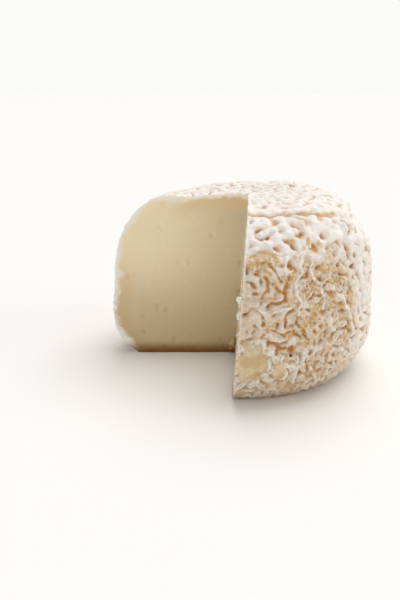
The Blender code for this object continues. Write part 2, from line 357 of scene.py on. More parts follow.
# How far a course works, in its half widths: its own form, the lip beside a furrow (where it stands
# and its width), and its pull on the folds around it.
FURROW_SPREAD = 1.65
RIDGE_SPREAD = 1.6
LIP = (3.5, 1.1)
PULL_SPREAD = 1.8
RIDGE_PULL = 1.2
FURROW_PULL = 1.0
COURSE_SWAY = (0.11 * MM, 2.2 * MM, 64, 20)

# Thin white threads of mould that stand on the rind: azimuth in degrees and height in mm of points,
# or for the first and the third the row of a ridge on the front, its first point and where it ends.
RIDGE_THREADS = ((0, 0, 5), (6, 1, 4))
THREADS = (
    ((-69.4, 26.8), (-68.7, 25.8), (-69.3, 25.2), (-71.1, 24.9), (-72.0, 23.8), (-72.1, 22.8)),
    ((-40.5, 27.0), (-38.2, 24.6), (-39.6, 21.0)),
    ((31.0, 27.0), (35.2, 24.4), (33.8, 21.0), (38.4, 18.0)),
    ((121.0, 25.6), (124.9, 22.6), (123.1, 18.8)),
    ((-156.5, 29.0), (-153.2, 26.0), (-155.8, 22.3)),
    ((84.0, 20.0), (88.4, 17.2), (86.8, 13.0)),
)
THREAD_STEP = 0.4 * MM
THREAD_SWAY = 0.16 * MM
THREAD_LIFT = 0.15
THREAD_TIP = 0.35
THREAD_GROWTH = 0.4
THREAD_THICKNESS = (0.7, 1.35)
THREAD_SEED = 100
THICKNESS_SEED = 200

# A ray that lays a point of a course on the cheese starts this many mm outside the plain side.
RAY_START = 6.0
RAY_LENGTH = 12.0 * MM

# Torn bits of curd on the front knife edge and in the inner corner of the cut.
CURD_BITS = (
    # depth towards -Y, height, how far it stands out of the cut, size
    (-26.8 * MM, 21.8 * MM, 0.28 * MM, 0.56 * MM),
    (-26.5 * MM, 21.1 * MM, 0.16 * MM, 0.46 * MM),
    (-27.0 * MM, 20.6 * MM, 0.05 * MM, 0.36 * MM),
    (-26.8 * MM, 18.9 * MM, 0.16 * MM, 0.42 * MM),
    (-26.9 * MM, 18.3 * MM, 0.02 * MM, 0.28 * MM),
    (-26.0 * MM, 24.2 * MM, 0.05 * MM, 0.24 * MM),
    (-27.0 * MM, 15.0 * MM, 0.05 * MM, 0.26 * MM),
    (-0.5 * MM, 2.5 * MM, 0.55 * MM, 0.95 * MM),
    (-0.3 * MM, 1.3 * MM, 0.45 * MM, 0.70 * MM),
    (-0.4 * MM, 5.6 * MM, 0.20 * MM, 0.45 * MM),
)
CURD_SEED = 71
CURD_STRETCH = (0.6, 1.3)
CURD_LUMPS = 0.28
CURD_EDGE_DEPTH = -10.0 * MM
CURD_UNDER_EDGE = 0.45 * MM
CURD_UNDER_CORNER = 1.5 * MM

# A dark speck on the rind: azimuth and height in mm of a short course that starts at it, and its
# half sizes in mm.
SPECK_PLACE = ((-73.7, 10.6), (-73.6, 10.6))
SPECK_RADII = (0.38, 0.18, 0.25)
SPECK_LEAN = math.radians(35.0)

# Shared mottling: its outputs with their scale, detail and roughness.
MOTTLE = (
    ("Blotch", 140.0, 3.0, 0.55),
    ("Fleck", 900.0, 4.0, 0.6),
    ("Grain", 3200.0, 3.0, 0.6),
)


def srgb(red, green, blue):
    """A colour given as 0 to 255 on screen, as Blender's linear values."""
    return tuple(round((c / 255.0) ** 2.2, 4) for c in (red, green, blue))


# Where tones of the rind change, by height (Z) or across (X): where a tone begins and is full. The low,
# side and foot bands carry partly painted shade, and the right bands painted light from the right.
LOW_TONES = (19.0 * MM, 11.0 * MM)
HIGH_TONES = (25.0 * MM, 32.0 * MM)
CROWN_TONES = (32.0 * MM, 34.5 * MM)
SIDE_TONES = (30.0 * MM, 24.0 * MM)
FOOT_TONES = (9.0 * MM, 1.0 * MM)
RIGHT_LIT_TONES = (17.0 * MM, 24.0 * MM)
RIGHT_LIGHT_BAND = (17.0 * MM, 25.0 * MM)

# Where tones of the paste change: depth under the rind, height or across. Some bands place painted
# shade low down, towards the inner corner and at the foot, and painted light at the upper left.
CREAM_BAND = (1.2 * MM, 4.5 * MM)
CORNER_SHADE_UNDER_BAND = (1.5 * MM, 4.5 * MM)
WHITE_LINE = (1.1 * MM, 0.25 * MM)
PASTE_LOW_SHADE_BAND = (27.0 * MM, 3.0 * MM)
PASTE_FOOT_SHADE_BAND = (3.2 * MM, 0.2 * MM)
PASTE_CORNER_SHADE_BAND = (-13.0 * MM, 2.0 * MM)
PASTE_LEFT_LIGHT_BAND = (-8.0 * MM, -18.0 * MM)
PASTE_LEFT_LIGHT_RISE = (12.0 * MM, 26.0 * MM)

# Noise patterns of the rind: scale, detail, roughness and, for some, distortion.
LACE_LINES = (620.0, 1.0, 0.4, 0.35)
PIT_DOTS = (420.0, 1.0, 0.4)
BLUSH_BLOTCHES = (300.0, 2.0, 0.5, 0.4)
BARE_BLOTCHES = (330.0, 2.0, 0.5)
DUST_GRAINS = (1300.0, 2.0, 0.6)

# Fixed tones of places on the rind, mixed over the colours of the panel. The low, side and foot tones
# are partly painted shade, and the rack's tan is painted shade in its creases.
LOW_FURROW = srgb(204, 178, 140)
HIGH_FURROW = srgb(208, 162, 106)
CROWN_FURROW = srgb(218, 182, 136)
HIGH_SLOPE = srgb(227, 200, 168)
LOW_TINT_AND_SHADE = srgb(214, 192, 156)
SIDE_TINT_AND_SHADE = srgb(236, 224, 208)
SIDE_BLOOM_AND_SHADE = srgb(232, 222, 208)
BLUSH = srgb(212, 168, 106)
GOLD_FURROW = srgb(192, 134, 54)
HIGH_GOLD = srgb(228, 194, 132)
DRAWN_FURROW = srgb(198, 137, 58)
RIDGE_WHITE = srgb(250, 243, 233)
DUST = srgb(190, 150, 104)
BARE_PALE = srgb(234, 218, 188)
BARE_DARK = srgb(200, 166, 114)
RACK_CREASE_SHADE = srgb(212, 172, 126)
FOOT_TAN_AND_SHADE = srgb(196, 178, 146)

# Fixed tones of the paste and the speck: the paste's tones for low down, the inner corner and the foot
# are painted shade, and its tone for the upper left is painted light.
PASTE_LOW_SHADE = srgb(196, 171, 126)
PASTE_CORNER_SHADE = srgb(204, 188, 156)
PASTE_LEFT_LIGHT = srgb(255, 235, 198)
PASTE_FOOT_SHADE = srgb(128, 84, 8)
UNDER_RIND = srgb(250, 242, 230)
SPECK_PALE = srgb(96, 78, 60)


# ---------------------------------------------------------------- sizes and colours


def length_property(name, description, value):
    return FloatProperty(
        name=name, description=description, default=value, min=0.01 * MM, unit="LENGTH", precision=5,
    )


def colour_property(name, description, value):
    return FloatVectorProperty(
        name=name, description=description, default=value, min=0.0, max=1.0, size=3, subtype="COLOR",
    )


class CrottinSizes(bpy.types.PropertyGroup):
    """Depths and thicknesses of the rind's and the paste's relief."""

    fold_depth: length_property("Fold depth", "Depth of the furrows on the side", 0.95 * MM)
    top_fold_depth: length_property("Top fold depth", "Depth of the furrows on the top", 0.72 * MM)
    crest_height: length_property("Crest height", "Height of the thin crests on the folds", 0.16 * MM)
    curd_relief: length_property("Curd relief", "Unevenness of the knife cuts", 0.07 * MM)
    thread_radius: length_property("Thread radius", "Radius of the mould threads", 0.12 * MM)


class CrottinColours(bpy.types.PropertyGroup):
    """Colours of the rind and the paste."""

    fold: colour_property("Fold", "Bloomed tops of the folds", srgb(241, 231, 221))
    slope: colour_property("Slope", "Sides of the folds", srgb(218, 190, 156))
    furrow: colour_property("Furrow", "Bottom of the furrows", srgb(192, 136, 62))
    gold: colour_property("Gold", "Golden places of the rind", srgb(215, 174, 100))
    bare: colour_property("Bare", "Smooth spots without folds", srgb(218, 194, 154))
    bloom: colour_property("Bloom", "White mould", srgb(249, 244, 240))
    core: colour_property("Core", "Paste in the middle of the cheese", srgb(245, 229, 196))
    creamline: colour_property("Creamline", "Softer paste under the rind", srgb(236, 212, 168))
    speck: colour_property("Speck", "Dark speck on the rind", srgb(58, 46, 38))
    floor: colour_property("Floor", "Floor of the stage", srgb(250, 249, 247))


# ---------------------------------------------------------------- form of the body


def step_up(low, high, value):
    """0 below low, 1 above high, and a smooth rise between them."""
    part = np.clip((value - low) / (high - low), 0.0, 1.0)
    return part * part * (3.0 - 2.0 * part)


def waves(points, span, seed, count=60):
    """Uneven field about 0 whose humps are roughly half a span across: many plane waves, summed."""
    draw = np.random.default_rng(seed)
    total = np.zeros(len(points))
    for _ in range(count):
        way = draw.normal(size=3)
        way /= np.linalg.norm(way)
        pace = 2.0 * math.pi / (span * (1.0 + draw.uniform(-0.2, 0.2)))
        total += np.cos(points @ way * pace + draw.uniform(0.0, 2.0 * math.pi))
    return total * math.sqrt(2.0 / count)


def turned_profile(upper_steps=UPPER_STEPS, lower_steps=LOWER_STEPS):
    """Points (radius, height) from the middle of the top, down the side, to the middle of the base."""
    outline = [(0.0, HEIGHT)]
    for step in range(upper_steps):
        turn = 0.5 * math.pi * (1.0 - step / upper_steps)
        radius = TOP_RADIUS + (WIDEST_RADIUS - TOP_RADIUS) * math.cos(turn) ** (2 / UPPER_ROUNDNESS)
        height = WIDEST_HEIGHT + (HEIGHT - WIDEST_HEIGHT) * math.sin(turn) ** (2 / UPPER_ROUNDNESS)
        outline.append((radius, height))
    for step in range(lower_steps + 1):
        turn = 0.5 * math.pi * (1.0 - step / lower_steps)
        radius = BASE_RADIUS + (WIDEST_RADIUS - BASE_RADIUS) * math.sin(turn) ** (2 / LOWER_ROUNDNESS)
        rise = (WIDEST_HEIGHT + BASE_DROP) * (1.0 - math.cos(turn) ** (2 / LOWER_ROUNDNESS))
        outline.append((radius, rise - BASE_DROP))
    outline.append((0.0, -BASE_DROP))
    return outline


def side_place(azimuth, height):
    """The spot on the plain turned side at an azimuth in degrees and a height."""
    outline = sorted((h, r) for r, h in turned_profile()[1:-1])
    radius = np.interp(height, [h for h, _ in outline], [r for _, r in outline])
    turn = math.radians(azimuth)
    return np.array((radius * math.cos(turn), radius * math.sin(turn), height))


def top_place(across, depth):
    """The spot on the plain turned top at X and Y in mm."""
    radius = math.hypot(across, depth) * MM
    outline = turned_profile()[: UPPER_STEPS + 2]
    height = np.interp(radius, [r for r, _ in outline], [h for _, h in outline])
    return np.array((across * MM, depth * MM, height))


def seen_place(part, right, down, outline):
    """Azimuth in degrees and height in mm, to a tenth, of the spot that the camera sees there."""
    across = VIEW_PARTS[part][0] + right / VIEW_ENLARGED - 0.5 * VIEW_SIZE[0]
    below = VIEW_PARTS[part][1] + down / VIEW_ENLARGED - 0.5 * VIEW_SIZE[1]
    ahead = np.array((0.0, math.cos(CAMERA_DIP), -math.sin(CAMERA_DIP)))
    up = np.array((0.0, math.sin(CAMERA_DIP), math.cos(CAMERA_DIP)))
    way = ahead + np.array((1.0, 0.0, 0.0)) * across / VIEW_FOCAL - up * below / VIEW_FOCAL
    heights, radii = outline
    first, last, count = VIEW_DEPTHS
    for _ in range(VIEW_PASSES):
        far = np.linspace(first, last, count)
        x, y, z = np.array(CAMERA_PLACE - AXIS)[:, None] + way[:, None] * far
        z = z / (1.0 + (SLOPE_X * x + SLOPE_Y * y) / HEIGHT)
        inside = (z >= 0.0) & (z <= HEIGHT) & (np.hypot(x, y) < np.interp(z, heights, radii))
        hit = int(np.argmax(inside))
        first, last = far[hit - 1], far[hit]
    return round(math.degrees(math.atan2(y[hit], x[hit])), 1), round(z[hit] / MM, 1)


def seen_courses(courses):
    """Courses given by the camera's view, in the terms of the others."""
    outline = np.array(turned_profile(*VIEW_STEPS)[:-1])[::-1]
    outline = (outline[:, 1], outline[:, 0])
    return [
        (width, *(seen_place(part, right, down, outline) for right, down in line))
        for part, width, *line in courses
    ]


def thread_courses():
    """Courses of the threads: the first and the third lie on ridges of the front."""
    ridges = [line[1:] for line in seen_courses(SEEN_RIDGES)]
    first, third = (ridges[row][start:end] for row, start, end in RIDGE_THREADS)
    return (first, THREADS[0], third, *THREADS[1:])


def rounded(ends):
    """A course with its corners cut off."""
    for _ in range(2):
        first = 0.75 * ends[:-1] + 0.25 * ends[1:]
        second = 0.25 * ends[:-1] + 0.75 * ends[1:]
        inner = np.stack([first, second], axis=1).reshape(-1, 3)
        ends = np.concatenate([ends[:1], inner, ends[-1:]])
    return ends


def away_from(points, ends, width, most):
    """Distance from a course in half widths, at most the given number."""
    ends = rounded(ends)
    reach = most * width
    inside = (points > ends.min(axis=0) - reach) & (points < ends.max(axis=0) + reach)
    near = np.flatnonzero(inside.all(axis=1))
    here = points[near]
    gap = np.full(len(near), reach)
    for start, end in zip(ends[:-1], ends[1:]):
        way = end - start
        part = np.clip((here - start) @ way / (way @ way), 0.0, 1.0)
        gap = np.minimum(gap, np.linalg.norm(here - start - part[:, None] * way, axis=1))
    away = np.full(len(points), most)
    away[near] = gap / width
    return away

def away_from_all(points, courses, most=6.0):
    """Distance from the nearest course of the side in its half widths."""
    away = np.full(len(points), most)
    for width, *line in courses:
        ends = np.array([side_place(azimuth, height * MM) for azimuth, height in line])
        away = np.minimum(away, away_from(points, ends, width * MM, most))
    return away


def bell(away, middle=0.0, width=1.0):
    """1 where a distance is at the middle value, 0 far from it."""
    return np.exp(-(((away - middle) / width) ** 2))


def swayed(points, amount, span, seed, count):
    """The points moved a little by uneven fields, so that what is drawn over them winds."""
    shift = [waves(points, span, seed + k, count) for k in range(3)]
    return points + amount * np.stack(shift, axis=1)


def spots(points, places, rim):
    """1 in the middle of each oval place of the side, 0 outside them."""
    spot = np.zeros(len(points))
    turn = np.arctan2(points[:, 1], points[:, 0])
    ragged = 1.0 + 0.16 * waves(points, *SPOT_WAVES) + 0.13 * waves(points, *SPOT_RIM_WAVES)
    for azimuth, height, half_width, half_height, *strength in places:
        away = (turn - math.radians(azimuth) + math.pi) % (2.0 * math.pi) - math.pi
        across = np.abs(away * WIDEST_RADIUS / half_width) ** SPOT_POWER
        along = np.abs((points[:, 2] - height) / half_height) ** SPOT_POWER
        reach = (across + along) ** (1.0 / SPOT_POWER) * ragged
        share = strength[0] if strength else 1.0
        spot = np.maximum(spot, share * (1.0 - step_up(*rim, reach)))
    return spot


class Skin:
    """A mesh's points and normals, with a way to even out a value over its surface."""

    EDGE_SHARE = 4.0
    DIAGONAL_SHARE = 1.0
    PACE = 0.8

    def __init__(self, mesh):
        count = len(mesh.vertices)
        self.points = read_values(mesh.vertices, "co", 3)
        self.normals = read_values(mesh.vertex_normals, "vector", 3)
        ends = np.empty(len(mesh.edges) * 2, np.int32)
        mesh.edges.foreach_get("vertices", ends)
        ends = ends.reshape(-1, 2)
        across = np.array([face.vertices[:] for face in mesh.polygons if len(face.vertices) == 4])
        diagonals = np.concatenate([across[:, (0, 2)], across[:, (1, 3)]])
        pairs = np.concatenate([ends, ends[:, ::-1], diagonals, diagonals[:, ::-1]])
        share = np.full(len(pairs), self.DIAGONAL_SHARE)
        share[: 2 * len(ends)] = self.EDGE_SHARE
        order = np.argsort(pairs[:, 0], kind="stable")
        self.here = pairs[order, 0]
        self.other = pairs[order, 1]
        self.share = share[order]
        self.first = np.searchsorted(self.here, np.arange(count))
        self.total = np.add.reduceat(self.share, self.first)
        gaps = self.points[ends[:, 0]] - self.points[ends[:, 1]]
        edge = float(np.linalg.norm(gaps, axis=1).mean())
        self.spread = 0.6 * self.PACE * edge**2

    def even(self, value, reach, local=1.0):
        """Spread a value over the skin by about reach; local is the share of it at each point."""
        pace = self.PACE * local**2
        for _ in range(max(1, round(reach**2 / self.spread))):
            around = np.add.reduceat(self.share * value[self.other], self.first) / self.total
            value = value + pace * (around - value)
        return value

    def slope(self, value):
        """The way in which a value rises along the skin, in its unit per metre."""
        gap = self.points[self.other] - self.points[self.here]
        weight = self.share * (value[self.other] - value[self.here]) / (gap**2).sum(axis=1)
        rise = np.add.reduceat(gap * weight[:, None], self.first, axis=0) / self.total[:, None] * 2.0
        along = (rise * self.normals).sum(axis=1)
        return rise - self.normals * along[:, None]


def read_values(items, name, width=1):
    """One property of a mesh's items as an array."""
    flat = np.empty(len(items) * width, np.float32)
    items.foreach_get(name, flat)
    flat = flat.astype(np.float64)
    return flat.reshape(-1, width) if width > 1 else flat


def sharpened(skin, value, length, pull):
    """Winding folds of the given local length from an uneven field, between -1 and 1.

    Each pass takes away the value's wider mean and saturates what is left. Pull lifts or lowers
    the value along set courses.
    """
    local = np.clip(length / LONGEST_FOLD, 0.3, 1.0)
    for _ in range(FOLD_PASSES):
        near = skin.even(value, NEAR_SHARE * LONGEST_FOLD, local)
        far = skin.even(near, FAR_SHARE * LONGEST_FOLD, local)
        value = np.tanh(FOLD_GAIN * (near - far) + FOLD_BIAS + pull)
    return value


def spread_out(value, low=3.0, high=97.0):
    """The value from 0 at a low share of the points to 1 at a high one."""
    least, most = np.percentile(value, (low, high))
    return np.clip((value - least) / (most - least), 0.0, 1.0)


def fold_pattern(skin, gold, flat, guide):
    """0 at the bottom of the rind's furrows and 1 on its folds; guide lifts or lowers it along courses."""
    points = skin.points
    radius = np.hypot(points[:, 0], points[:, 1])
    height = points[:, 2]
    shoulder = step_up(*LONG_FOLD_RISE, height) * step_up(*LONG_FOLD_RADIUS, radius)
    wider = 0.25 * step_up(*RIGHT_SIDE, points[:, 0])
    length = SIDE_FOLD + (SHOULDER_FOLD - SIDE_FOLD) * shoulder
    length = length + (LOW_FOLD - length) * step_up(*LOW_FOLD_SIDE, height)
    length = length * (1.0 + 0.16 * waves(points, *LENGTH_WAVES) + wider)
    length = length + (GOLD_FOLD - length) * 0.9 * gold * (1.0 - shoulder)
    length = length + (FLAT_FOLD - length) * flat
    low_down = step_up(*LOW_PULL_SIDE, height)
    pull = 0.22 * flat - np.maximum(0.38 * low_down, 0.22 * gold) * (1.0 - flat) + guide
    pull += 0.14 * waves(points, *PULL_WAVES)
    value = sharpened(skin, waves(points, *FIRST_WAVES), length, pull)
    return spread_out(skin.even(value, LAST_EVENING, 0.5 + 0.5 * shoulder))


def crest_lines(points, span, seed, width):
    """1 on thin winding lines, which run where an uneven field changes its sign."""
    field = waves(swayed(points, *CREST_SWAY, seed + 1, 24), span, seed, 40)
    return bell(np.abs(field) * span, 0.0, 2.0 * math.pi * width)


def rack_marks(points):
    """Depth, 0 to 1, of the straight creases that the drying rack pressed into the top."""
    along = points[:, 0] * math.cos(RACK_TURN) + points[:, 1] * math.sin(RACK_TURN)
    across = points[:, 1] * math.cos(RACK_TURN) - points[:, 0] * math.sin(RACK_TURN)
    depth = np.zeros(len(points))
    wander = RACK_WANDER * waves(points, *RACK_WAVES)
    for offset, side, start in RACK_MARKS:
        line = bell(across - offset - wander, 0.0, RACK_WIDTH)
        depth = np.maximum(depth, line * step_up(-1.0 * MM, 1.0 * MM, along * side - start))
    depth *= step_up(*RACK_RISE, points[:, 2])
    depth *= np.clip(0.75 + 0.35 * waves(points, *RACK_DEPTH_WAVES), 0.25, 1.0)
    ends = np.array([top_place(*place) for place in RACK_BEND])
    away = away_from(swayed(points, *RACK_SWAY), ends, RACK_BEND_WIDTH, 4.0)
    return np.maximum(depth, bell(away) * step_up(*RACK_BEND_END, points[:, 0]))


# ---------------------------------------------------------------- making of meshes


def deselect_all():
    if bpy.context.mode != "OBJECT":
        bpy.ops.object.mode_set(mode="OBJECT")
    bpy.ops.object.select_all(action="DESELECT")


def make_active(thing):
    deselect_all()
    thing.select_set(True)
    bpy.context.view_layer.objects.active = thing


def remove_old(name):
    """Remove the object that an earlier run of the same operator made."""
    old = bpy.data.objects.get(name)
    if old is not None:
        bpy.data.objects.remove(old, do_unlink=True)


def new_name(thing, name):
    thing.name = name
    thing.data.name = name
    return thing


def dress(thing, name, *materials):
    """Name a mesh object and give it these materials in place of any others."""
    new_name(thing, name)
    thing.data.materials.clear()
    for material in materials:
        thing.data.materials.append(material)
    return thing


def smooth(mesh):
    """Shade every face of a mesh smoothly."""
    mesh.polygons.foreach_set("use_smooth", np.ones(len(mesh.polygons), bool))
    mesh.update()


def set_points(mesh, points):
    mesh.vertices.foreach_set("co", np.asarray(points, np.float32).ravel())
    mesh.update()


def set_value(mesh, name, value):
    """Keep a value per point on the mesh, where a material reads it by name."""
    layer = mesh.attributes.get(name) or mesh.attributes.new(name, "FLOAT", "POINT")
    layer.data.foreach_set("value", np.asarray(value, np.float32))


def tree_of(thing):
    """A search tree over the object's faces."""
    graph = bpy.context.evaluated_depsgraph_get()
    return BVHTree.FromObject(thing, graph)


def plain_body():
    """The plain turned cheese, meshed evenly in small cells."""
    outline = turned_profile()
    rings = len(outline) - 1
    deselect_all()
    bpy.ops.mesh.primitive_uv_sphere_add(segments=TURN_STEPS, ring_count=rings, radius=1.0)
    body = bpy.context.active_object
    for corner in body.data.vertices:
        ring = round(math.acos(max(-1.0, min(1.0, corner.co.z))) * rings / math.pi)
        turn = math.atan2(corner.co.y, corner.co.x)
        radius, height = outline[ring]
        corner.co = (radius * math.cos(turn), radius * math.sin(turn), height)
    cells = body.modifiers.new("cells", "REMESH")
    cells.mode = "VOXEL"
    cells.voxel_size = SKIN_CELL
    make_active(body)
    bpy.ops.object.modifier_apply(modifier=cells.name)
    return body


class RindMasks:
    """Where each point of the plain skin lies, as masks from 0 to 1 that relief and finish share."""

    def __init__(self, skin):
        points = skin.points
        radius = np.hypot(points[:, 0], points[:, 1])
        self.points = points
        self.height = points[:, 2]
        self.on_top = step_up(*TOP_TURN, skin.normals[:, 2])
        self.side = 1.0 - self.on_top
        self.above_flat = np.maximum(step_up(*FLAT_BASE, radius), self.height > BASE_HEIGHT)
        self.low_down = step_up(*LOW_SIDE, self.height)
        self.shoulder = step_up(*SHOULDER_RISE, self.height)
        self.marks = rack_marks(points)
        self.edge = knife_edge(points)
        ragged = 1.0 + 0.25 * waves(points, *GOLD_WAVES)
        self.gold = np.clip(spots(points, GOLD_SPOTS, GOLD_RIM) * ragged, 0.0, 1.0)
        self.flat = spots(points, FLAT_SPOTS, FLAT_RIM)
        self.bare = spots(points, SMOOTH_SPOTS, BARE_RIM)
        uneven = 0.8 + 0.34 * waves(points, *REACH_WAVES) - 0.25 * self.flat
        self.reach = np.clip(uneven, 0.25, 1.15)
        winding = swayed(points, *COURSE_SWAY)
        to_furrow = away_from_all(winding, (*seen_courses(SEEN_FURROWS), *FURROWS))
        to_ridge = away_from_all(winding, (*seen_courses(SEEN_RIDGES), *RIDGES))
        self.furrow = bell(to_furrow, 0.0, FURROW_SPREAD) * (1.0 - self.edge)
        self.ridge = bell(to_ridge, 0.0, RIDGE_SPREAD)
        self.lip = bell(to_furrow, *LIP)
        guide = RIDGE_PULL * bell(to_ridge, 0.0, PULL_SPREAD)
        guide -= FURROW_PULL * bell(to_furrow, 0.0, PULL_SPREAD)
        self.fold = fold_pattern(skin, self.gold, self.flat, guide)
        self.fold += (1.0 - self.fold) * 0.7 * self.edge


def fold_depth(rind, sizes):
    """How deep the furrows between the folds are: less where the rind is tight or finely crinkled."""
    depth = sizes.fold_depth + (sizes.top_fold_depth - sizes.fold_depth) * rind.on_top
    depth = depth * (1.0 + 0.25 * waves(rind.points, *DEPTH_WAVES))
    depth = np.clip(depth, 0.0, DEEPEST * sizes.fold_depth)
    depth = depth * (1.0 - LOST_WHERE_BARE * rind.bare) * rind.above_flat
    depth = depth * (1.0 - LOST_WHERE_GOLDEN * rind.gold) * (1.0 - LOST_WHERE_FLAT * rind.flat)
    depth = depth * (1.0 - LOST_LOW_DOWN * rind.low_down) * rind.reach
    return depth * (1.0 - LOST_UNDER_RACK * rind.marks)


def crest_mask(rind):
    """1 on the thin raised crests: on the folds, along their rims, and beside furrows and knife cuts."""
    patchy = np.clip(0.8 + 0.5 * waves(rind.points, *CREST_WAVES), 0.0, 1.2)
    crest = crest_lines(rind.points, *CREST_LINES) * patchy * (0.45 + 0.65 * rind.low_down)
    weaker = (1.0 - (0.5 + 0.3 * rind.on_top) * rind.shoulder) * (0.5 + 0.5 * rind.fold)
    crest *= weaker * (1.0 - 0.4 * rind.flat)
    fine = GOLD_CREST * rind.gold * crest_lines(rind.points, *GOLD_CREST_LINES)
    crest = np.maximum(crest, fine)
    rim = bell(rind.fold, *FOLD_RIM) * (0.55 + 0.45 * np.maximum(rind.low_down, 0.4 * rind.gold))
    rim = rim * (1.0 - 0.7 * rind.shoulder) * patchy
    crest = np.clip(np.maximum(crest, FOLD_RIM_CREST * rim), 0.0, 1.0)
    crest = crest * (1.0 - LOST_WHERE_BARE * rind.bare)
    crest = np.maximum(crest, LIP_CREST * rind.lip * (1.0 - rind.shoulder))
    crest = np.maximum(crest, BARE_RIM_CREST * bell(rind.bare, *BARE_EDGE) * (rind.bare > 0.01))
    crest = np.maximum(crest * (1.0 - rind.furrow), rind.ridge)
    return np.maximum(crest * rind.side * rind.above_flat, KNIFE_CREST * rind.edge)


def raised(points, relief):
    """Height of a relief that is given as its height and the field that it follows."""
    height, field = relief
    return height * waves(points, *field)


def rind_relief(rind, depth, crest, sizes):
    """How far each point of the rind moves outwards."""
    points = rind.points
    push = -depth * (1.0 - rind.fold) ** FOLD_POWER
    push -= RACK_DEPTH * rind.marks
    push += RIDGE_RISE * rind.ridge - FURROW_CUT * rind.furrow * (0.3 + 0.7 * rind.fold)
    push += raised(points, LUMPS) * step_up(*LUMP_RISE, rind.height)
    knobbly = step_up(*KNOBBLY_SIDE, points[:, 0]) * step_up(*KNOBBLY_RISE, rind.height)
    push += raised(points, KNOBS) * knobbly * step_up(*KNOBBLY_END, rind.height)
    push += sizes.crest_height * (crest - CREST_REST)
    lumpy = (1.0 - 0.6 * rind.bare) * rind.above_flat
    pebble_height = (PEBBLE_HEIGHT + FLAT_PEBBLE_HEIGHT * rind.flat) * MM
    push += pebble_height * waves(points, *PEBBLES) * lumpy
    push += raised(points, GRAINS) * lumpy
    push += raised(points, SHOULDER_GRAINS) * lumpy * rind.shoulder * (1.0 - 0.65 * rind.on_top)
    return push


def fold_skin(body, sizes):
    """Press furrows, crests and rack marks into the plain cheese, and keep the masks of its finish."""
    mesh = body.data
    skin = Skin(mesh)
    rind = RindMasks(skin)
    depth = fold_depth(rind, sizes)
    crest = crest_mask(rind)
    moved = skin.points + skin.normals * rind_relief(rind, depth, crest, sizes)[:, None]
    moved -= FOLD_LEAN * skin.slope(rind.fold) * (depth / sizes.fold_depth)[:, None]
    moved[:, 2] *= 1.0 + (SLOPE_X * moved[:, 0] + SLOPE_Y * moved[:, 1]) / HEIGHT
    moved[:, 2] = np.maximum(moved[:, 2], 0.0)
    set_points(mesh, moved + np.array(AXIS))
    shown_fold = 1.0 - (1.0 - rind.fold) ** TONE_POWER * np.clip(rind.reach + 0.1, 0.0, 1.0)
    kept = {
        "fold": shown_fold, "furrow": rind.furrow, "ridge": rind.ridge * rind.side, "mark": rind.marks,
        "crest": crest, "gold": rind.gold, "bare": rind.bare,
    }
    for name, value in kept.items():
        set_value(mesh, name, value)


def side_cut(depth, height):
    """X of the side cut at a depth (Y) and a height."""
    return CORNER_X + (height - HEIGHT) * math.tan(CUT_LEAN) + depth * math.tan(CUT_SWING)


def knife_edge(points):
    """1 on the rind along the edges of the two cuts, 0 a little further away."""
    cut = side_cut(points[:, 1], points[:, 2])
    beside = np.where(points[:, 1] < 0.0, np.abs(points[:, 0] - cut), 1.0)
    behind = np.where(points[:, 0] < cut, np.abs(points[:, 1]), 1.0)
    return bell(np.minimum(beside, behind), 0.0, KNIFE_EDGE_WIDTH)


def knife_block(sizes):
    """The missing wedge as a block, with the paste's unevenness on its two knife faces."""
    deselect_all()
    bpy.ops.mesh.primitive_cube_add(size=2.0)
    block = bpy.context.active_object
    for corner in block.data.vertices:
        side_x, side_y, side_z = corner.co
        height = KNIFE_TOP if side_z > 0.0 else KNIFE_LOW
        depth = 0.0 if side_y > 0.0 else -KNIFE_REACH
        corner.co = (side_cut(depth, height) if side_x > 0.0 else -KNIFE_REACH, depth, height)
    bpy.ops.object.mode_set(mode="EDIT")
    bpy.ops.mesh.select_all(action="SELECT")
    bpy.ops.mesh.subdivide(number_cuts=KNIFE_CUTS)
    bpy.ops.object.mode_set(mode="OBJECT")
    points = read_values(block.data.vertices, "co", 3)
    on_back = points[:, 1] > -ON_FACE
    on_side = np.abs(points[:, 0] - side_cut(points[:, 1], points[:, 2])) < ON_FACE
    relief = curd_relief(points, sizes)
    points[:, 1] += np.where(on_back, relief, 0.0)
    points[:, 0] += np.where(on_side, relief, 0.0)
    set_points(block.data, points + np.array(AXIS))
    return block


def curd_relief(points, sizes):
    """How far the paste lies behind the knife's plane: soft humps, grains, pits and short cracks."""
    broad = waves(points, *CURD_HUMPS)
    grain = waves(points, *CURD_GRAIN)
    pits = step_up(2.1, 3.0, waves(points, *CURD_PITS))
    cracks = step_up(0.86, 1.0, 1.0 - np.abs(waves(points, *CURD_CRACKS)) * 2.6)
    cracks *= step_up(1.5, 2.2, waves(points, *CURD_CRACK_PLACES))
    plain = sizes.curd_relief * (0.7 * broad + 0.35 * np.abs(grain))
    return plain + CURD_PIT_DEPTH * pits + CURD_PIT_DEPTH * cracks


# ---------------------------------------------------------------- materials


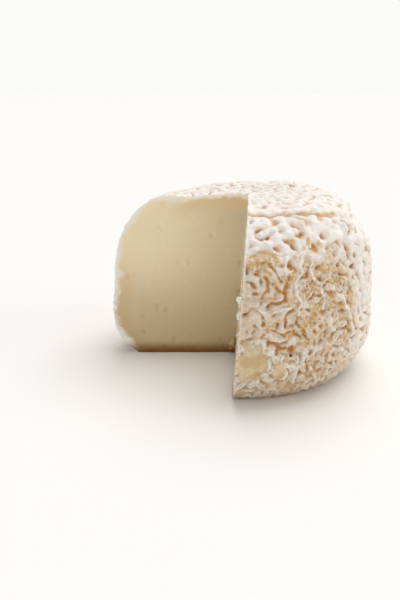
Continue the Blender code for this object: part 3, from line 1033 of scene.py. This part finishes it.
class Paint:
    """The nodes of one material, group or sky, and the colour laid on so far."""

    def __init__(self, tree, colour=None):
        self.tree = tree
        self.shader = tree.nodes.get("Principled BSDF")
        self.colour = colour

    def node(self, kind, values=None, **settings):
        node = self.tree.nodes.new("ShaderNode" + kind)
        for key, value in settings.items():
            setattr(node, key, value)
        for key, value in (values or {}).items():
            node.inputs[key].default_value = value
        return node

    def feed(self, socket, value):
        """Give a socket another node's output, a number or a colour."""
        if hasattr(value, "links"):
            self.tree.links.new(value, socket)
        elif isinstance(value, (int, float)):
            socket.default_value = value
        else:
            socket.default_value = (*value[:3], 1.0)

    def attribute(self, name):
        return self.node("Attribute", attribute_name=name).outputs["Fac"]

    def place(self):
        """The place on the piece."""
        return self.node("TexCoord").outputs["Object"]

    def axes(self, place):
        """X, Y and Z of a place."""
        parts = self.node("SeparateXYZ")
        self.feed(parts.inputs[0], place)
        return parts.outputs

    def ramp(self, value, low, high, to_low=0.0, to_high=1.0):
        """A smooth change from one value to another while the first goes from low to high."""
        limits = {"From Min": low, "From Max": high, "To Min": to_low, "To Max": to_high}
        node = self.node("MapRange", limits, interpolation_type="SMOOTHSTEP")
        self.feed(node.inputs["Value"], value)
        return node.outputs["Result"]

    def maths(self, operation, first, second=0.0):
        node = self.node("Math", operation=operation)
        self.feed(node.inputs[0], first)
        self.feed(node.inputs[1], second)
        return node.outputs[0]

    def plus(self, first, second):
        return self.maths("ADD", first, second)

    def times(self, first, second):
        return self.maths("MULTIPLY", first, second)

    def mix(self, share, first, second, blend="MIX"):
        node = self.node("Mix", data_type="RGBA", blend_type=blend)
        for number, value in ((0, share), (6, first), (7, second)):
            self.feed(node.inputs[number], value)
        return node.outputs[2]

    def cover(self, share, colour):
        """Lay a colour over the colour so far."""
        self.colour = self.mix(share, self.colour, colour)

    def noise(self, place, scale, detail=3.0, roughness=0.5, distortion=0.0):
        values = {"Scale": scale, "Detail": detail, "Roughness": roughness, "Distortion": distortion}
        node = self.node("TexNoise", values)
        self.feed(node.inputs["Vector"], place)
        return node.outputs["Fac"]

    def mottle(self, scale):
        """Blotch, fleck and grain of the shared mottling."""
        return self.node("Group", {"Scale": scale}, node_tree=mottle_group()).outputs

    def bump(self, height, strength, distance):
        bump = self.node("Bump", {"Strength": strength, "Distance": distance})
        self.feed(bump.inputs["Height"], height)
        self.feed(self.shader.inputs["Normal"], bump.outputs["Normal"])

    def finish(self, roughness, specular=0.5):
        """Give the shader the colour laid on so far, its roughness and its shine."""
        self.feed(self.shader.inputs["Base Color"], self.colour)
        self.feed(self.shader.inputs["Roughness"], roughness)
        self.shader.inputs["Specular IOR Level"].default_value = specular

    def soften(self, weight, radius, scale):
        """Let light into the surface, further in red than in blue."""
        self.shader.inputs["Subsurface Weight"].default_value = weight
        self.shader.inputs["Subsurface Radius"].default_value = radius
        self.shader.inputs["Subsurface Scale"].default_value = scale


def fresh(store, name):
    """A new material or world with nodes, in place of an earlier one of the same name."""
    old = store.get(name)
    if old is not None:
        store.remove(old)
    item = store.new(name)
    item.use_nodes = True
    return item


def mottle_group():
    """Shared mottling of rind and paste: broad blotches, small flecks and a grain for bump."""
    group = bpy.data.node_groups.get("cheese_mottle")
    if group is not None:
        return group
    group = bpy.data.node_groups.new("cheese_mottle", "ShaderNodeTree")
    scale = group.interface.new_socket("Scale", in_out="INPUT", socket_type="NodeSocketFloat")
    scale.default_value = 1.0
    for output, *_ in MOTTLE:
        group.interface.new_socket(output, in_out="OUTPUT", socket_type="NodeSocketFloat")
    start = group.nodes.new("NodeGroupInput")
    end = group.nodes.new("NodeGroupOutput")
    paint = Paint(group)
    sized = paint.node("VectorMath", operation="SCALE")
    paint.feed(sized.inputs[0], paint.place())
    paint.feed(sized.inputs["Scale"], start.outputs["Scale"])
    for output, *pattern in MOTTLE:
        paint.feed(end.inputs[output], paint.noise(sized.outputs[0], *pattern))
    return group


class RindPaint(Paint):
    """The rind's paint: the masks that its tones share, and the tones in the order they lie."""

    def __init__(self, tree, colours):
        super().__init__(tree)
        self.colours = colours
        mottle = self.mottle(1.0)
        self.blotch = mottle["Blotch"]
        self.fleck = mottle["Fleck"]
        self.grain = mottle["Grain"]
        self.spot = self.place()
        self.across, _, self.height = self.axes(self.spot)
        self.fold = self.attribute("fold")
        self.gold = self.attribute("gold")
        self.crest = self.attribute("crest")
        self.low = self.ramp(self.height, *LOW_TONES)
        self.high = self.ramp(self.height, *HIGH_TONES)
        toned = self.plus(self.fold, self.ramp(self.fleck, 0.3, 0.7, -0.1, 0.1))
        toned = self.plus(toned, self.ramp(self.blotch, 0.3, 0.7, -0.1, 0.1))
        # Lower on the side the tone drops a little: partly the rind's tone, partly painted shade.
        self.toned = self.maths("SUBTRACT", toned, self.times(self.low, 0.1))
        # Below the top the side is darkened, partly as painted shade, and less towards the right, as
        # painted light.
        lit_right = self.ramp(self.across, *RIGHT_LIT_TONES, 0.8, 0.1)
        self.side_tone_and_shade = self.times(self.ramp(self.height, *SIDE_TONES), lit_right)
        fuzzy = self.ramp(self.plus(self.gold, self.crest), 0.0, 0.8, 0.25, 1.0)
        self.laced = self.times(self.lace(), fuzzy)

    def lace(self):
        """1 on very fine winding lines, finer than the mesh of the rind can carry."""
        field = self.noise(self.spot, *LACE_LINES)
        away = self.maths("ABSOLUTE", self.maths("SUBTRACT", field, 0.5))
        return self.ramp(away, 0.03, 0.0)

    def lay_folds(self):
        """Tan furrows, paler on the shoulder and the top, under ivory folds, and a darker, yellower low
        side that is partly its tone and partly painted shade.
        """
        pits = self.ramp(self.noise(self.spot, *PIT_DOTS), 0.48, 0.62)
        crown = self.ramp(self.height, *CROWN_TONES)
        deep = self.mix(self.low, self.colours.furrow, self.mix(pits, LOW_FURROW, self.colours.furrow))
        deep = self.mix(self.high, deep, self.mix(crown, HIGH_FURROW, CROWN_FURROW))
        slope = self.mix(self.high, self.colours.slope, HIGH_SLOPE)
        self.colour = self.mix(self.ramp(self.toned, 0.08, 0.42), deep, slope)
        self.cover(self.ramp(self.toned, 0.36, 0.80), self.colours.fold)
        # Darker and yellower low on the side: partly the rind's tone, partly painted shade.
        self.cover(self.times(self.low, 0.45), LOW_TINT_AND_SHADE)

    def lay_gold(self):
        """A blush in blotches on the side, the golden places and the drawn furrows, then the side darkened
        below the top, partly as painted shade and less towards the right as painted light.
        """
        blush = self.ramp(self.noise(self.spot, *BLUSH_BLOTCHES), 0.5, 0.64, 0.0, 0.8)
        self.cover(self.times(blush, self.side_tone_and_shade), BLUSH)
        golden = self.mix(self.high, GOLD_FURROW, HIGH_GOLD)
        golden = self.mix(self.ramp(self.fold, 0.05, 0.7), golden, self.colours.gold)
        golden = self.mix(self.ramp(self.blotch, 0.46, 0.66, 0.0, 0.25), golden, self.colours.fold)
        self.cover(self.ramp(self.gold, 0.0, 0.7, 0.0, 0.95), golden)
        self.cover(self.ramp(self.attribute("furrow"), 0.1, 0.8, 0.0, 0.95), DRAWN_FURROW)
        # The side darkened below the top: partly its tone, partly painted shade.
        self.cover(self.side_tone_and_shade, self.mix(1.0, self.colour, SIDE_TINT_AND_SHADE, "MULTIPLY"))

    def lay_crests(self):
        """White mould on crests, lace and ridges, dimmer on the side as partly painted shade, and a dust
        of fine flecks.
        """
        white = self.ramp(self.crest, 0.1, 0.8, 0.0, 0.95)
        white = self.maths("MAXIMUM", white, self.times(self.laced, 0.85))
        # Bloom on the crests is dimmer on the side: partly painted shade.
        self.cover(white, self.mix(self.side_tone_and_shade, self.colours.bloom, SIDE_BLOOM_AND_SHADE))
        self.cover(self.ramp(self.attribute("ridge"), 0.35, 0.85, 0.0, 0.85), RIDGE_WHITE)
        dust = self.noise(self.spot, *DUST_GRAINS)
        self.cover(self.ramp(dust, 0.56, 0.72, 0.0, 0.35), DUST)
        self.cover(self.ramp(dust, 0.44, 0.28, 0.0, 0.3), self.colours.bloom)

    def lay_bare(self):
        """The smooth spots, pale with darker blotches."""
        patch = self.mix(self.ramp(self.fleck, 0.4, 0.62, 0.0, 0.6), self.colours.bare, BARE_PALE)
        blotches = self.ramp(self.noise(self.spot, *BARE_BLOTCHES), 0.45, 0.62, 0.0, 0.6)
        patch = self.mix(blotches, patch, BARE_DARK)
        self.cover(self.ramp(self.attribute("bare"), 0.35, 0.95, 0.0, 0.92), patch)

    def lay_bloom(self):
        """White bloom on the upper part, painted light that whitens the right side, painted shade in tan
        in the rack's creases, and tan at the foot that is partly painted shade.
        """
        bloom = self.times(self.high, self.ramp(self.toned, 0.14, 0.72, 0.04, 0.75))
        bloom = self.times(bloom, self.ramp(self.gold, 0.1, 0.7, 1.0, 0.2))
        self.cover(bloom, self.colours.bloom)
        # Painted light: fold tops whitened towards the right side.
        right_light = self.ramp(self.across, *RIGHT_LIGHT_BAND, 0.0, 0.4)
        right_light = self.times(right_light, self.ramp(self.toned, 0.15, 0.65))
        self.cover(right_light, self.colours.bloom)
        # Painted shade: tan in the rack's creases.
        self.cover(self.ramp(self.attribute("mark"), 0.2, 0.8, 0.0, 0.85), RACK_CREASE_SHADE)
        # Darker tan towards the foot: partly the rind's tone, partly painted shade.
        self.cover(self.ramp(self.height, *FOOT_TONES, 0.0, 0.35), FOOT_TAN_AND_SHADE)


def rind_material(colours):
    """Ivory folds with tan furrows, golden places, bare spots and white bloom, with partly painted shade
    low down and on the side, painted shade in the rack's creases and painted light on the right.
    """
    material = fresh(bpy.data.materials, "rind")
    paint = RindPaint(material.node_tree, colours)
    paint.lay_folds()
    paint.lay_gold()
    paint.lay_crests()
    paint.lay_bare()
    paint.lay_bloom()
    paint.finish(paint.ramp(paint.toned, 0.0, 0.7, 0.5, 0.72), 0.35)
    paint.soften(0.25, (1.0, 0.7, 0.45), 0.6 * MM)
    height = paint.plus(paint.times(paint.fleck, 0.5), paint.times(paint.grain, 0.3))
    paint.bump(paint.plus(height, paint.times(paint.laced, 0.85)), 0.6, 0.16 * MM)
    return material


def paste_material(colours):
    """Ivory paste: a white line under the rind, a soft cream band, and a paler, slightly grainy core, with
    painted shade low down, towards the inner corner and at the foot, and painted light at its upper left.
    """
    material = fresh(bpy.data.materials, "paste")
    paint = Paint(material.node_tree, colours.creamline)
    mottle = paint.mottle(1.3)
    blotch = mottle["Blotch"]
    fleck = mottle["Fleck"]
    across, _, height = paint.axes(paint.place())
    under = paint.attribute("under")
    wander = paint.plus(under, paint.ramp(blotch, 0.3, 0.7, -0.7 * MM, 0.7 * MM))
    paint.cover(paint.ramp(wander, *CREAM_BAND), colours.core)
    paint.cover(paint.ramp(fleck, 0.35, 0.75, 0.0, 0.25), colours.creamline)
    # Painted shade: the paste darkens towards the bottom of the cut.
    paint.cover(paint.ramp(height, *PASTE_LOW_SHADE_BAND, 0.0, 0.7), PASTE_LOW_SHADE)
    # Painted shade: greyer towards the inner corner of the cut, less so just under the rind.
    inner = paint.ramp(across, *PASTE_CORNER_SHADE_BAND, 0.0, 0.5)
    inner = paint.times(inner, paint.ramp(wander, *CORNER_SHADE_UNDER_BAND, 0.25, 1.0))
    paint.cover(inner, PASTE_CORNER_SHADE)
    # Painted light: paler at the upper left of the back face.
    left_light = paint.ramp(across, *PASTE_LEFT_LIGHT_BAND, 0.0, 0.9)
    paint.cover(paint.times(left_light, paint.ramp(height, *PASTE_LEFT_LIGHT_RISE)), PASTE_LEFT_LIGHT)
    rim = paint.plus(under, paint.ramp(blotch, 0.35, 0.65, -0.32 * MM, 0.32 * MM))
    rim = paint.plus(rim, paint.ramp(fleck, 0.35, 0.65, -0.1 * MM, 0.1 * MM))
    paint.cover(paint.ramp(rim, *WHITE_LINE), UNDER_RIND)
    # Painted shade: dark brown along the foot of the cut, where the cheese meets the floor.
    paint.cover(paint.ramp(height, *PASTE_FOOT_SHADE_BAND), PASTE_FOOT_SHADE)
    paint.finish(paint.ramp(blotch, 0.3, 0.7, 0.36, 0.5), 0.4)
    paint.soften(0.4, (1.0, 0.75, 0.5), 1.2 * MM)
    paint.bump(paint.plus(paint.times(fleck, 0.7), paint.times(mottle["Grain"], 0.3)), 0.25, 0.1 * MM)
    return material


def bloom_material(colours):
    """White mould that stands in threads on the rind."""
    material = fresh(bpy.data.materials, "mould_bloom")
    paint = Paint(material.node_tree, colours.bloom)
    mottle = paint.mottle(2.0)
    paint.cover(paint.ramp(mottle["Fleck"], 0.3, 0.7, 0.0, 0.4), colours.fold)
    paint.finish(0.8)
    paint.soften(0.3, (1.0, 0.8, 0.6), 0.4 * MM)
    paint.bump(mottle["Grain"], 0.5, 0.05 * MM)
    return material


def speck_material(colours):
    """Dark, dull speck."""
    material = fresh(bpy.data.materials, "dark_speck")
    paint = Paint(material.node_tree, colours.speck)
    mottle = paint.mottle(4.0)
    paint.cover(paint.ramp(mottle["Fleck"], 0.3, 0.7), SPECK_PALE)
    paint.finish(0.55)
    paint.bump(mottle["Grain"], 0.4, 0.03 * MM)
    return material


def floor_material(colours):
    """Pale, dull floor."""
    material = fresh(bpy.data.materials, "pale_floor")
    paint = Paint(material.node_tree, colours.floor)
    paint.finish(0.9, 0.1)
    return material


# ---------------------------------------------------------------- pieces


def the_cheese(piece):
    """The finished cheese, on which another piece is laid."""
    cheese = bpy.data.objects.get(CHEESE)
    if cheese is None:
        raise RuntimeError(f"the cheese has to be made before its {piece}")
    return cheese


class CROTTIN_OT_cheese(bpy.types.Operator):
    """Make the cheese: turned body, folded rind and two knife cuts"""

    bl_idname = "crottin.cheese"
    bl_label = "Cheese"

    def execute(self, context):
        sizes = context.scene.crottin_sizes
        colours = context.scene.crottin_colours
        remove_old(CHEESE)
        materials = (rind_material(colours), paste_material(colours))
        body = dress(plain_body(), CHEESE, *materials)
        fold_skin(body, sizes)
        whole = tree_of(body)
        block = dress(knife_block(sizes), "knife_block", *materials)
        all_paste = np.full(len(block.data.polygons), PASTE_INDEX, np.int32)
        block.data.polygons.foreach_set("material_index", all_paste)
        cut_and_thin(body, block)
        bpy.data.objects.remove(block, do_unlink=True)
        finish_cheese(body, whole)
        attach(body, "root")
        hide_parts(NODE)
        return {"FINISHED"}


def cut_and_thin(body, block):
    """Cut the block out of the body, then keep as many triangles as one piece may have."""
    cut = body.modifiers.new("knife", "BOOLEAN")
    cut.operation = "DIFFERENCE"
    cut.solver = "MANIFOLD"
    cut.object = block
    make_active(body)
    bpy.ops.object.modifier_apply(modifier=cut.name)
    triangles = sum(len(face.vertices) - 2 for face in body.data.polygons)
    if triangles > MOST_TRIANGLES:
        thin = body.modifiers.new("thin", "DECIMATE")
        thin.ratio = MOST_TRIANGLES / triangles
        bpy.ops.object.modifier_apply(modifier=thin.name)


def finish_cheese(body, whole):
    """Smooth shading with sharp knife edges, and the depth of each point of the paste under the rind."""
    mesh = body.data
    index = np.empty(len(mesh.polygons), np.int32)
    mesh.polygons.foreach_get("material_index", index)
    under = np.zeros(len(mesh.vertices))
    cut_faces = [face for face in mesh.polygons if index[face.index] == PASTE_INDEX]
    for number in {corner for face in cut_faces for corner in face.vertices}:
        under[number] = whole.find_nearest(mesh.vertices[number].co)[3]
    set_value(mesh, "under", under)
    edge_sides = {}
    for face in mesh.polygons:
        for key in face.edge_keys:
            edge_sides.setdefault(key, set()).add(int(index[face.index]))
    smooth(mesh)
    sharp = mesh.attributes.get("sharp_edge") or mesh.attributes.new("sharp_edge", "BOOLEAN", "EDGE")
    flags = np.array([len(edge_sides.get(edge.key, ())) > 1 for edge in mesh.edges])
    sharp.data.foreach_set("value", flags)
    mesh.update()


def course_points(line, tree, step, wiggle, lift, seed):
    """Points along a course on the side, a small step apart, laid on the cheese."""
    draw = np.random.default_rng(seed)
    corners = np.array([side_place(azimuth, height * MM) for azimuth, height in line])
    gaps = np.linalg.norm(np.diff(corners, axis=0), axis=1)
    reach = np.concatenate([[0.0], np.cumsum(gaps)])
    count = max(4, int(reach[-1] / step))
    where = np.linspace(0.0, reach[-1], count)
    course = np.stack([np.interp(where, reach, corners[:, k]) for k in range(3)], axis=1)
    for _ in range(2):
        course[1:-1] = 0.5 * course[1:-1] + 0.25 * (course[:-2] + course[2:])
    sway = draw.normal(size=(count, 3)) * wiggle
    sway[1:-1] = 0.5 * sway[1:-1] + 0.25 * (sway[:-2] + sway[2:])
    laid = []
    for spot in course + sway:
        start = Vector(spot) + AXIS
        start.z *= 1.0 + (SLOPE_X * spot[0] + SLOPE_Y * spot[1]) / HEIGHT
        outward = Vector((spot[0], spot[1], 0.0)).normalized()
        place = tree.ray_cast(start + outward * RAY_START * MM, -outward, RAY_LENGTH)[0]
        if place is not None:
            laid.append(place + outward * lift)
    return laid


class CROTTIN_OT_threads(bpy.types.Operator):
    """Lay thin white threads of mould on the rind"""

    bl_idname = "crottin.threads"
    bl_label = "Mould threads"

    def execute(self, context):
        tree = tree_of(the_cheese("mould threads"))
        radius = context.scene.crottin_sizes.thread_radius
        remove_old("mould_threads")
        laid = []
        for number, line in enumerate(thread_courses()):
            lift = THREAD_LIFT * radius
            course = course_points(line, tree, THREAD_STEP, THREAD_SWAY, lift, THREAD_SEED + number)
            if len(course) > 3:
                laid.append(lay_thread(course, radius, THICKNESS_SEED + number))
        threads = dress(join_up(laid), "mould_threads", bloom_material(context.scene.crottin_colours))
        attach(threads, "root")
        return {"FINISHED"}


def lay_thread(course, radius, seed):
    """One thread as a round curve of uneven thickness, made into a mesh."""
    draw = np.random.default_rng(seed)
    deselect_all()
    bpy.ops.curve.primitive_nurbs_path_add()
    curve = bpy.context.active_object.data
    curve.splines.clear()
    spline = curve.splines.new("NURBS")
    spline.points.add(len(course) - 1)
    spline.order_u = 3
    spline.use_endpoint_u = True
    for number, (point, spot) in enumerate(zip(spline.points, course)):
        point.co = (*spot, 1.0)
        taper = min(1.0, THREAD_TIP + THREAD_GROWTH * min(number, len(course) - 1 - number))
        point.radius = taper * draw.uniform(*THREAD_THICKNESS)
    curve.resolution_u = 2
    curve.bevel_depth = radius
    curve.bevel_resolution = 1
    curve.use_fill_caps = True
    bpy.ops.object.convert(target="MESH")
    thread = bpy.context.active_object
    smooth(thread.data)
    return thread


def join_up(things):
    """Join several mesh objects into the first one."""
    deselect_all()
    for thing in things:
        thing.select_set(True)
    bpy.context.view_layer.objects.active = things[0]
    if len(things) > 1:
        bpy.ops.object.join()
    return things[0]


def round_bit(radius):
    """A plain round bit in the middle of the frame, smoothly shaded."""
    deselect_all()
    bpy.ops.mesh.primitive_ico_sphere_add(subdivisions=3, radius=radius)
    bit = bpy.context.active_object
    smooth(bit.data)
    return bit


class CROTTIN_OT_torn_curd(bpy.types.Operator):
    """Set torn bits of curd on the knife edge"""

    bl_idname = "crottin.torn_curd"
    bl_label = "Torn curd"

    def execute(self, context):
        tree = tree_of(the_cheese("torn curd"))
        remove_old("torn_curd")
        draw = np.random.default_rng(CURD_SEED)
        bits = []
        for depth, height, out, size in CURD_BITS:
            place = tree.find_nearest(Vector((side_cut(depth, height), depth, height)) + AXIS)[0]
            bit = curd_bit(place - Vector((out, 0.0, 0.0)), size, draw)
            under = CURD_UNDER_EDGE if depth < CURD_EDGE_DEPTH else CURD_UNDER_CORNER
            set_value(bit.data, "under", np.full(len(bit.data.vertices), under))
            bits.append(bit)
        curd = dress(join_up(bits), "torn_curd", bpy.data.materials["paste"])
        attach(curd, "root")
        return {"FINISHED"}


def curd_bit(place, size, draw):
    """One ragged bit of curd."""
    bit = round_bit(size)
    points = read_values(bit.data.vertices, "co", 3)
    stretch = draw.uniform(*CURD_STRETCH, size=3)
    lumps = 1.0 + CURD_LUMPS * waves(points, 1.3 * size, int(draw.integers(1000)), 20)
    set_points(bit.data, points * stretch * lumps[:, None] + np.array(place))
    return bit


class CROTTIN_OT_speck(bpy.types.Operator):
    """Set the dark speck on the rind"""

    bl_idname = "crottin.speck"
    bl_label = "Dark speck"

    def execute(self, context):
        tree = tree_of(the_cheese("speck"))
        remove_old("dark_speck")
        place = course_points(SPECK_PLACE, tree, 0.01 * MM, 0.0, 0.0, 1)[0]
        material = speck_material(context.scene.crottin_colours)
        speck = dress(round_bit(1.0), "dark_speck", material)
        points = read_values(speck.data.vertices, "co", 3)
        lumps = 1.0 + 0.2 * waves(points, 1.5, 77, 20)
        points = points * lumps[:, None] * np.array(SPECK_RADII) * MM
        turned = points.copy()
        turned[:, 0] = points[:, 0] * math.cos(SPECK_LEAN) - points[:, 2] * math.sin(SPECK_LEAN)
        turned[:, 2] = points[:, 0] * math.sin(SPECK_LEAN) + points[:, 2] * math.cos(SPECK_LEAN)
        set_points(speck.data, turned + np.array(place))
        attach(speck, "root")
        return {"FINISHED"}


# ---------------------------------------------------------------- stage

CAMERA_PLACE = Vector((-8.85 * MM, -141.86 * MM, 61.26 * MM)) + AXIS
CAMERA_DIP = 0.331
CAMERA_TURN = (math.pi / 2.0 - CAMERA_DIP, 0.0, 0.0)
CAMERA_LENS = 40.81
SENSOR_WIDTH = 36.0
NEAREST = 0.005
FURTHEST = 10.0
FLOOR_SIZE = 3.0
LIGHTS = (
    # name, place, target, spread in degrees, strength, colour
    ("top_soft", (0.10, 0.14, 0.42), (0.0, 0.0, 0.02), 55.0, 1.75, (1.0, 0.985, 0.967)),
    ("right_soft", (0.40, -0.10, 0.20), (0.0, 0.0, 0.015), 40.0, 0.44, (1.0, 0.985, 0.965)),
    ("left_soft", (-0.34, -0.34, 0.22), (0.0, 0.0, 0.02), 50.0, 0.12, (1.0, 0.98, 0.95)),
)
OVERHEAD = (0.45, 0.45, 0.45 * 0.985)
BACKDROP = (0.96, 0.96, 0.95)
SKYLINE = (0.09, 0.15)


def pale_sky():
    """A pale backdrop for the camera; the light from it is as pale low down and dimmer overhead."""
    world = fresh(bpy.data.worlds, "soft_white")
    paint = Paint(world.node_tree)
    background = world.node_tree.nodes["Background"]
    background.inputs["Strength"].default_value = 1.0
    rise = paint.ramp(paint.axes(paint.node("TexCoord").outputs["Generated"])["Z"], *SKYLINE)
    seen = paint.node("LightPath").outputs["Is Camera Ray"]
    light = paint.mix(rise, BACKDROP, OVERHEAD)
    paint.feed(background.inputs["Color"], paint.mix(seen, light, BACKDROP))
    return world


class CROTTIN_OT_stage(bpy.types.Operator):
    """Make the floor, the lights and the camera"""

    bl_idname = "crottin.stage"
    bl_label = "Stage"

    def execute(self, context):
        scene = context.scene
        for name in ("floor", "camera", *(light[0] for light in LIGHTS)):
            remove_old(name)
        deselect_all()
        bpy.ops.mesh.primitive_plane_add(size=FLOOR_SIZE)
        floor = dress(context.active_object, "floor", floor_material(scene.crottin_colours))
        for name, place, target, spread, strength, colour in LIGHTS:
            bpy.ops.object.light_add(type="SUN", location=place)
            light = new_name(context.active_object, name)
            light.rotation_euler = (Vector(target) - Vector(place)).to_track_quat("-Z", "Y").to_euler()
            light.data.angle = math.radians(spread)
            light.data.energy = strength
            light.data.color = colour
        scene.world = pale_sky()
        bpy.ops.object.camera_add(location=CAMERA_PLACE, rotation=CAMERA_TURN)
        camera = new_name(context.active_object, "camera")
        camera.data.lens = CAMERA_LENS
        camera.data.sensor_width = SENSOR_WIDTH
        camera.data.clip_start = NEAREST
        camera.data.clip_end = FURTHEST
        scene.camera = camera
        scene.view_settings.view_transform = "Standard"
        scene.view_settings.look = "None"
        return {"FINISHED"}


# ---------------------------------------------------------------- panel and run


class CROTTIN_PT_panel(bpy.types.Panel):
    """Sizes, colours and pieces of the crottin"""

    bl_label = "Crottin"
    bl_idname = "CROTTIN_PT_panel"
    bl_space_type = "VIEW_3D"
    bl_region_type = "UI"
    bl_category = "Crottin"

    def draw(self, context):
        for group in (context.scene.crottin_sizes, context.scene.crottin_colours):
            box = self.layout.box()
            for name in group.__annotations__:
                box.prop(group, name)
        for operator in OPERATORS:
            self.layout.operator(operator.bl_idname)


OPERATORS = (
    CROTTIN_OT_stage,
    CROTTIN_OT_cheese,
    CROTTIN_OT_threads,
    CROTTIN_OT_torn_curd,
    CROTTIN_OT_speck,
)
CLASSES = (CrottinSizes, CrottinColours, *OPERATORS, CROTTIN_PT_panel)


def register():
    for item in CLASSES:
        bpy.utils.register_class(item)
    bpy.types.Scene.crottin_sizes = PointerProperty(type=CrottinSizes)
    bpy.types.Scene.crottin_colours = PointerProperty(type=CrottinColours)


def unregister():
    del bpy.types.Scene.crottin_colours
    del bpy.types.Scene.crottin_sizes
    for item in reversed(CLASSES):
        bpy.utils.unregister_class(item)


def main():
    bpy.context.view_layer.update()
    register()
    bpy.ops.crottin.stage()
    bpy.ops.crottin.cheese()
    bpy.ops.crottin.threads()
    bpy.ops.crottin.torn_curd()
    bpy.ops.crottin.speck()


if __name__ == "__main__":
    main()
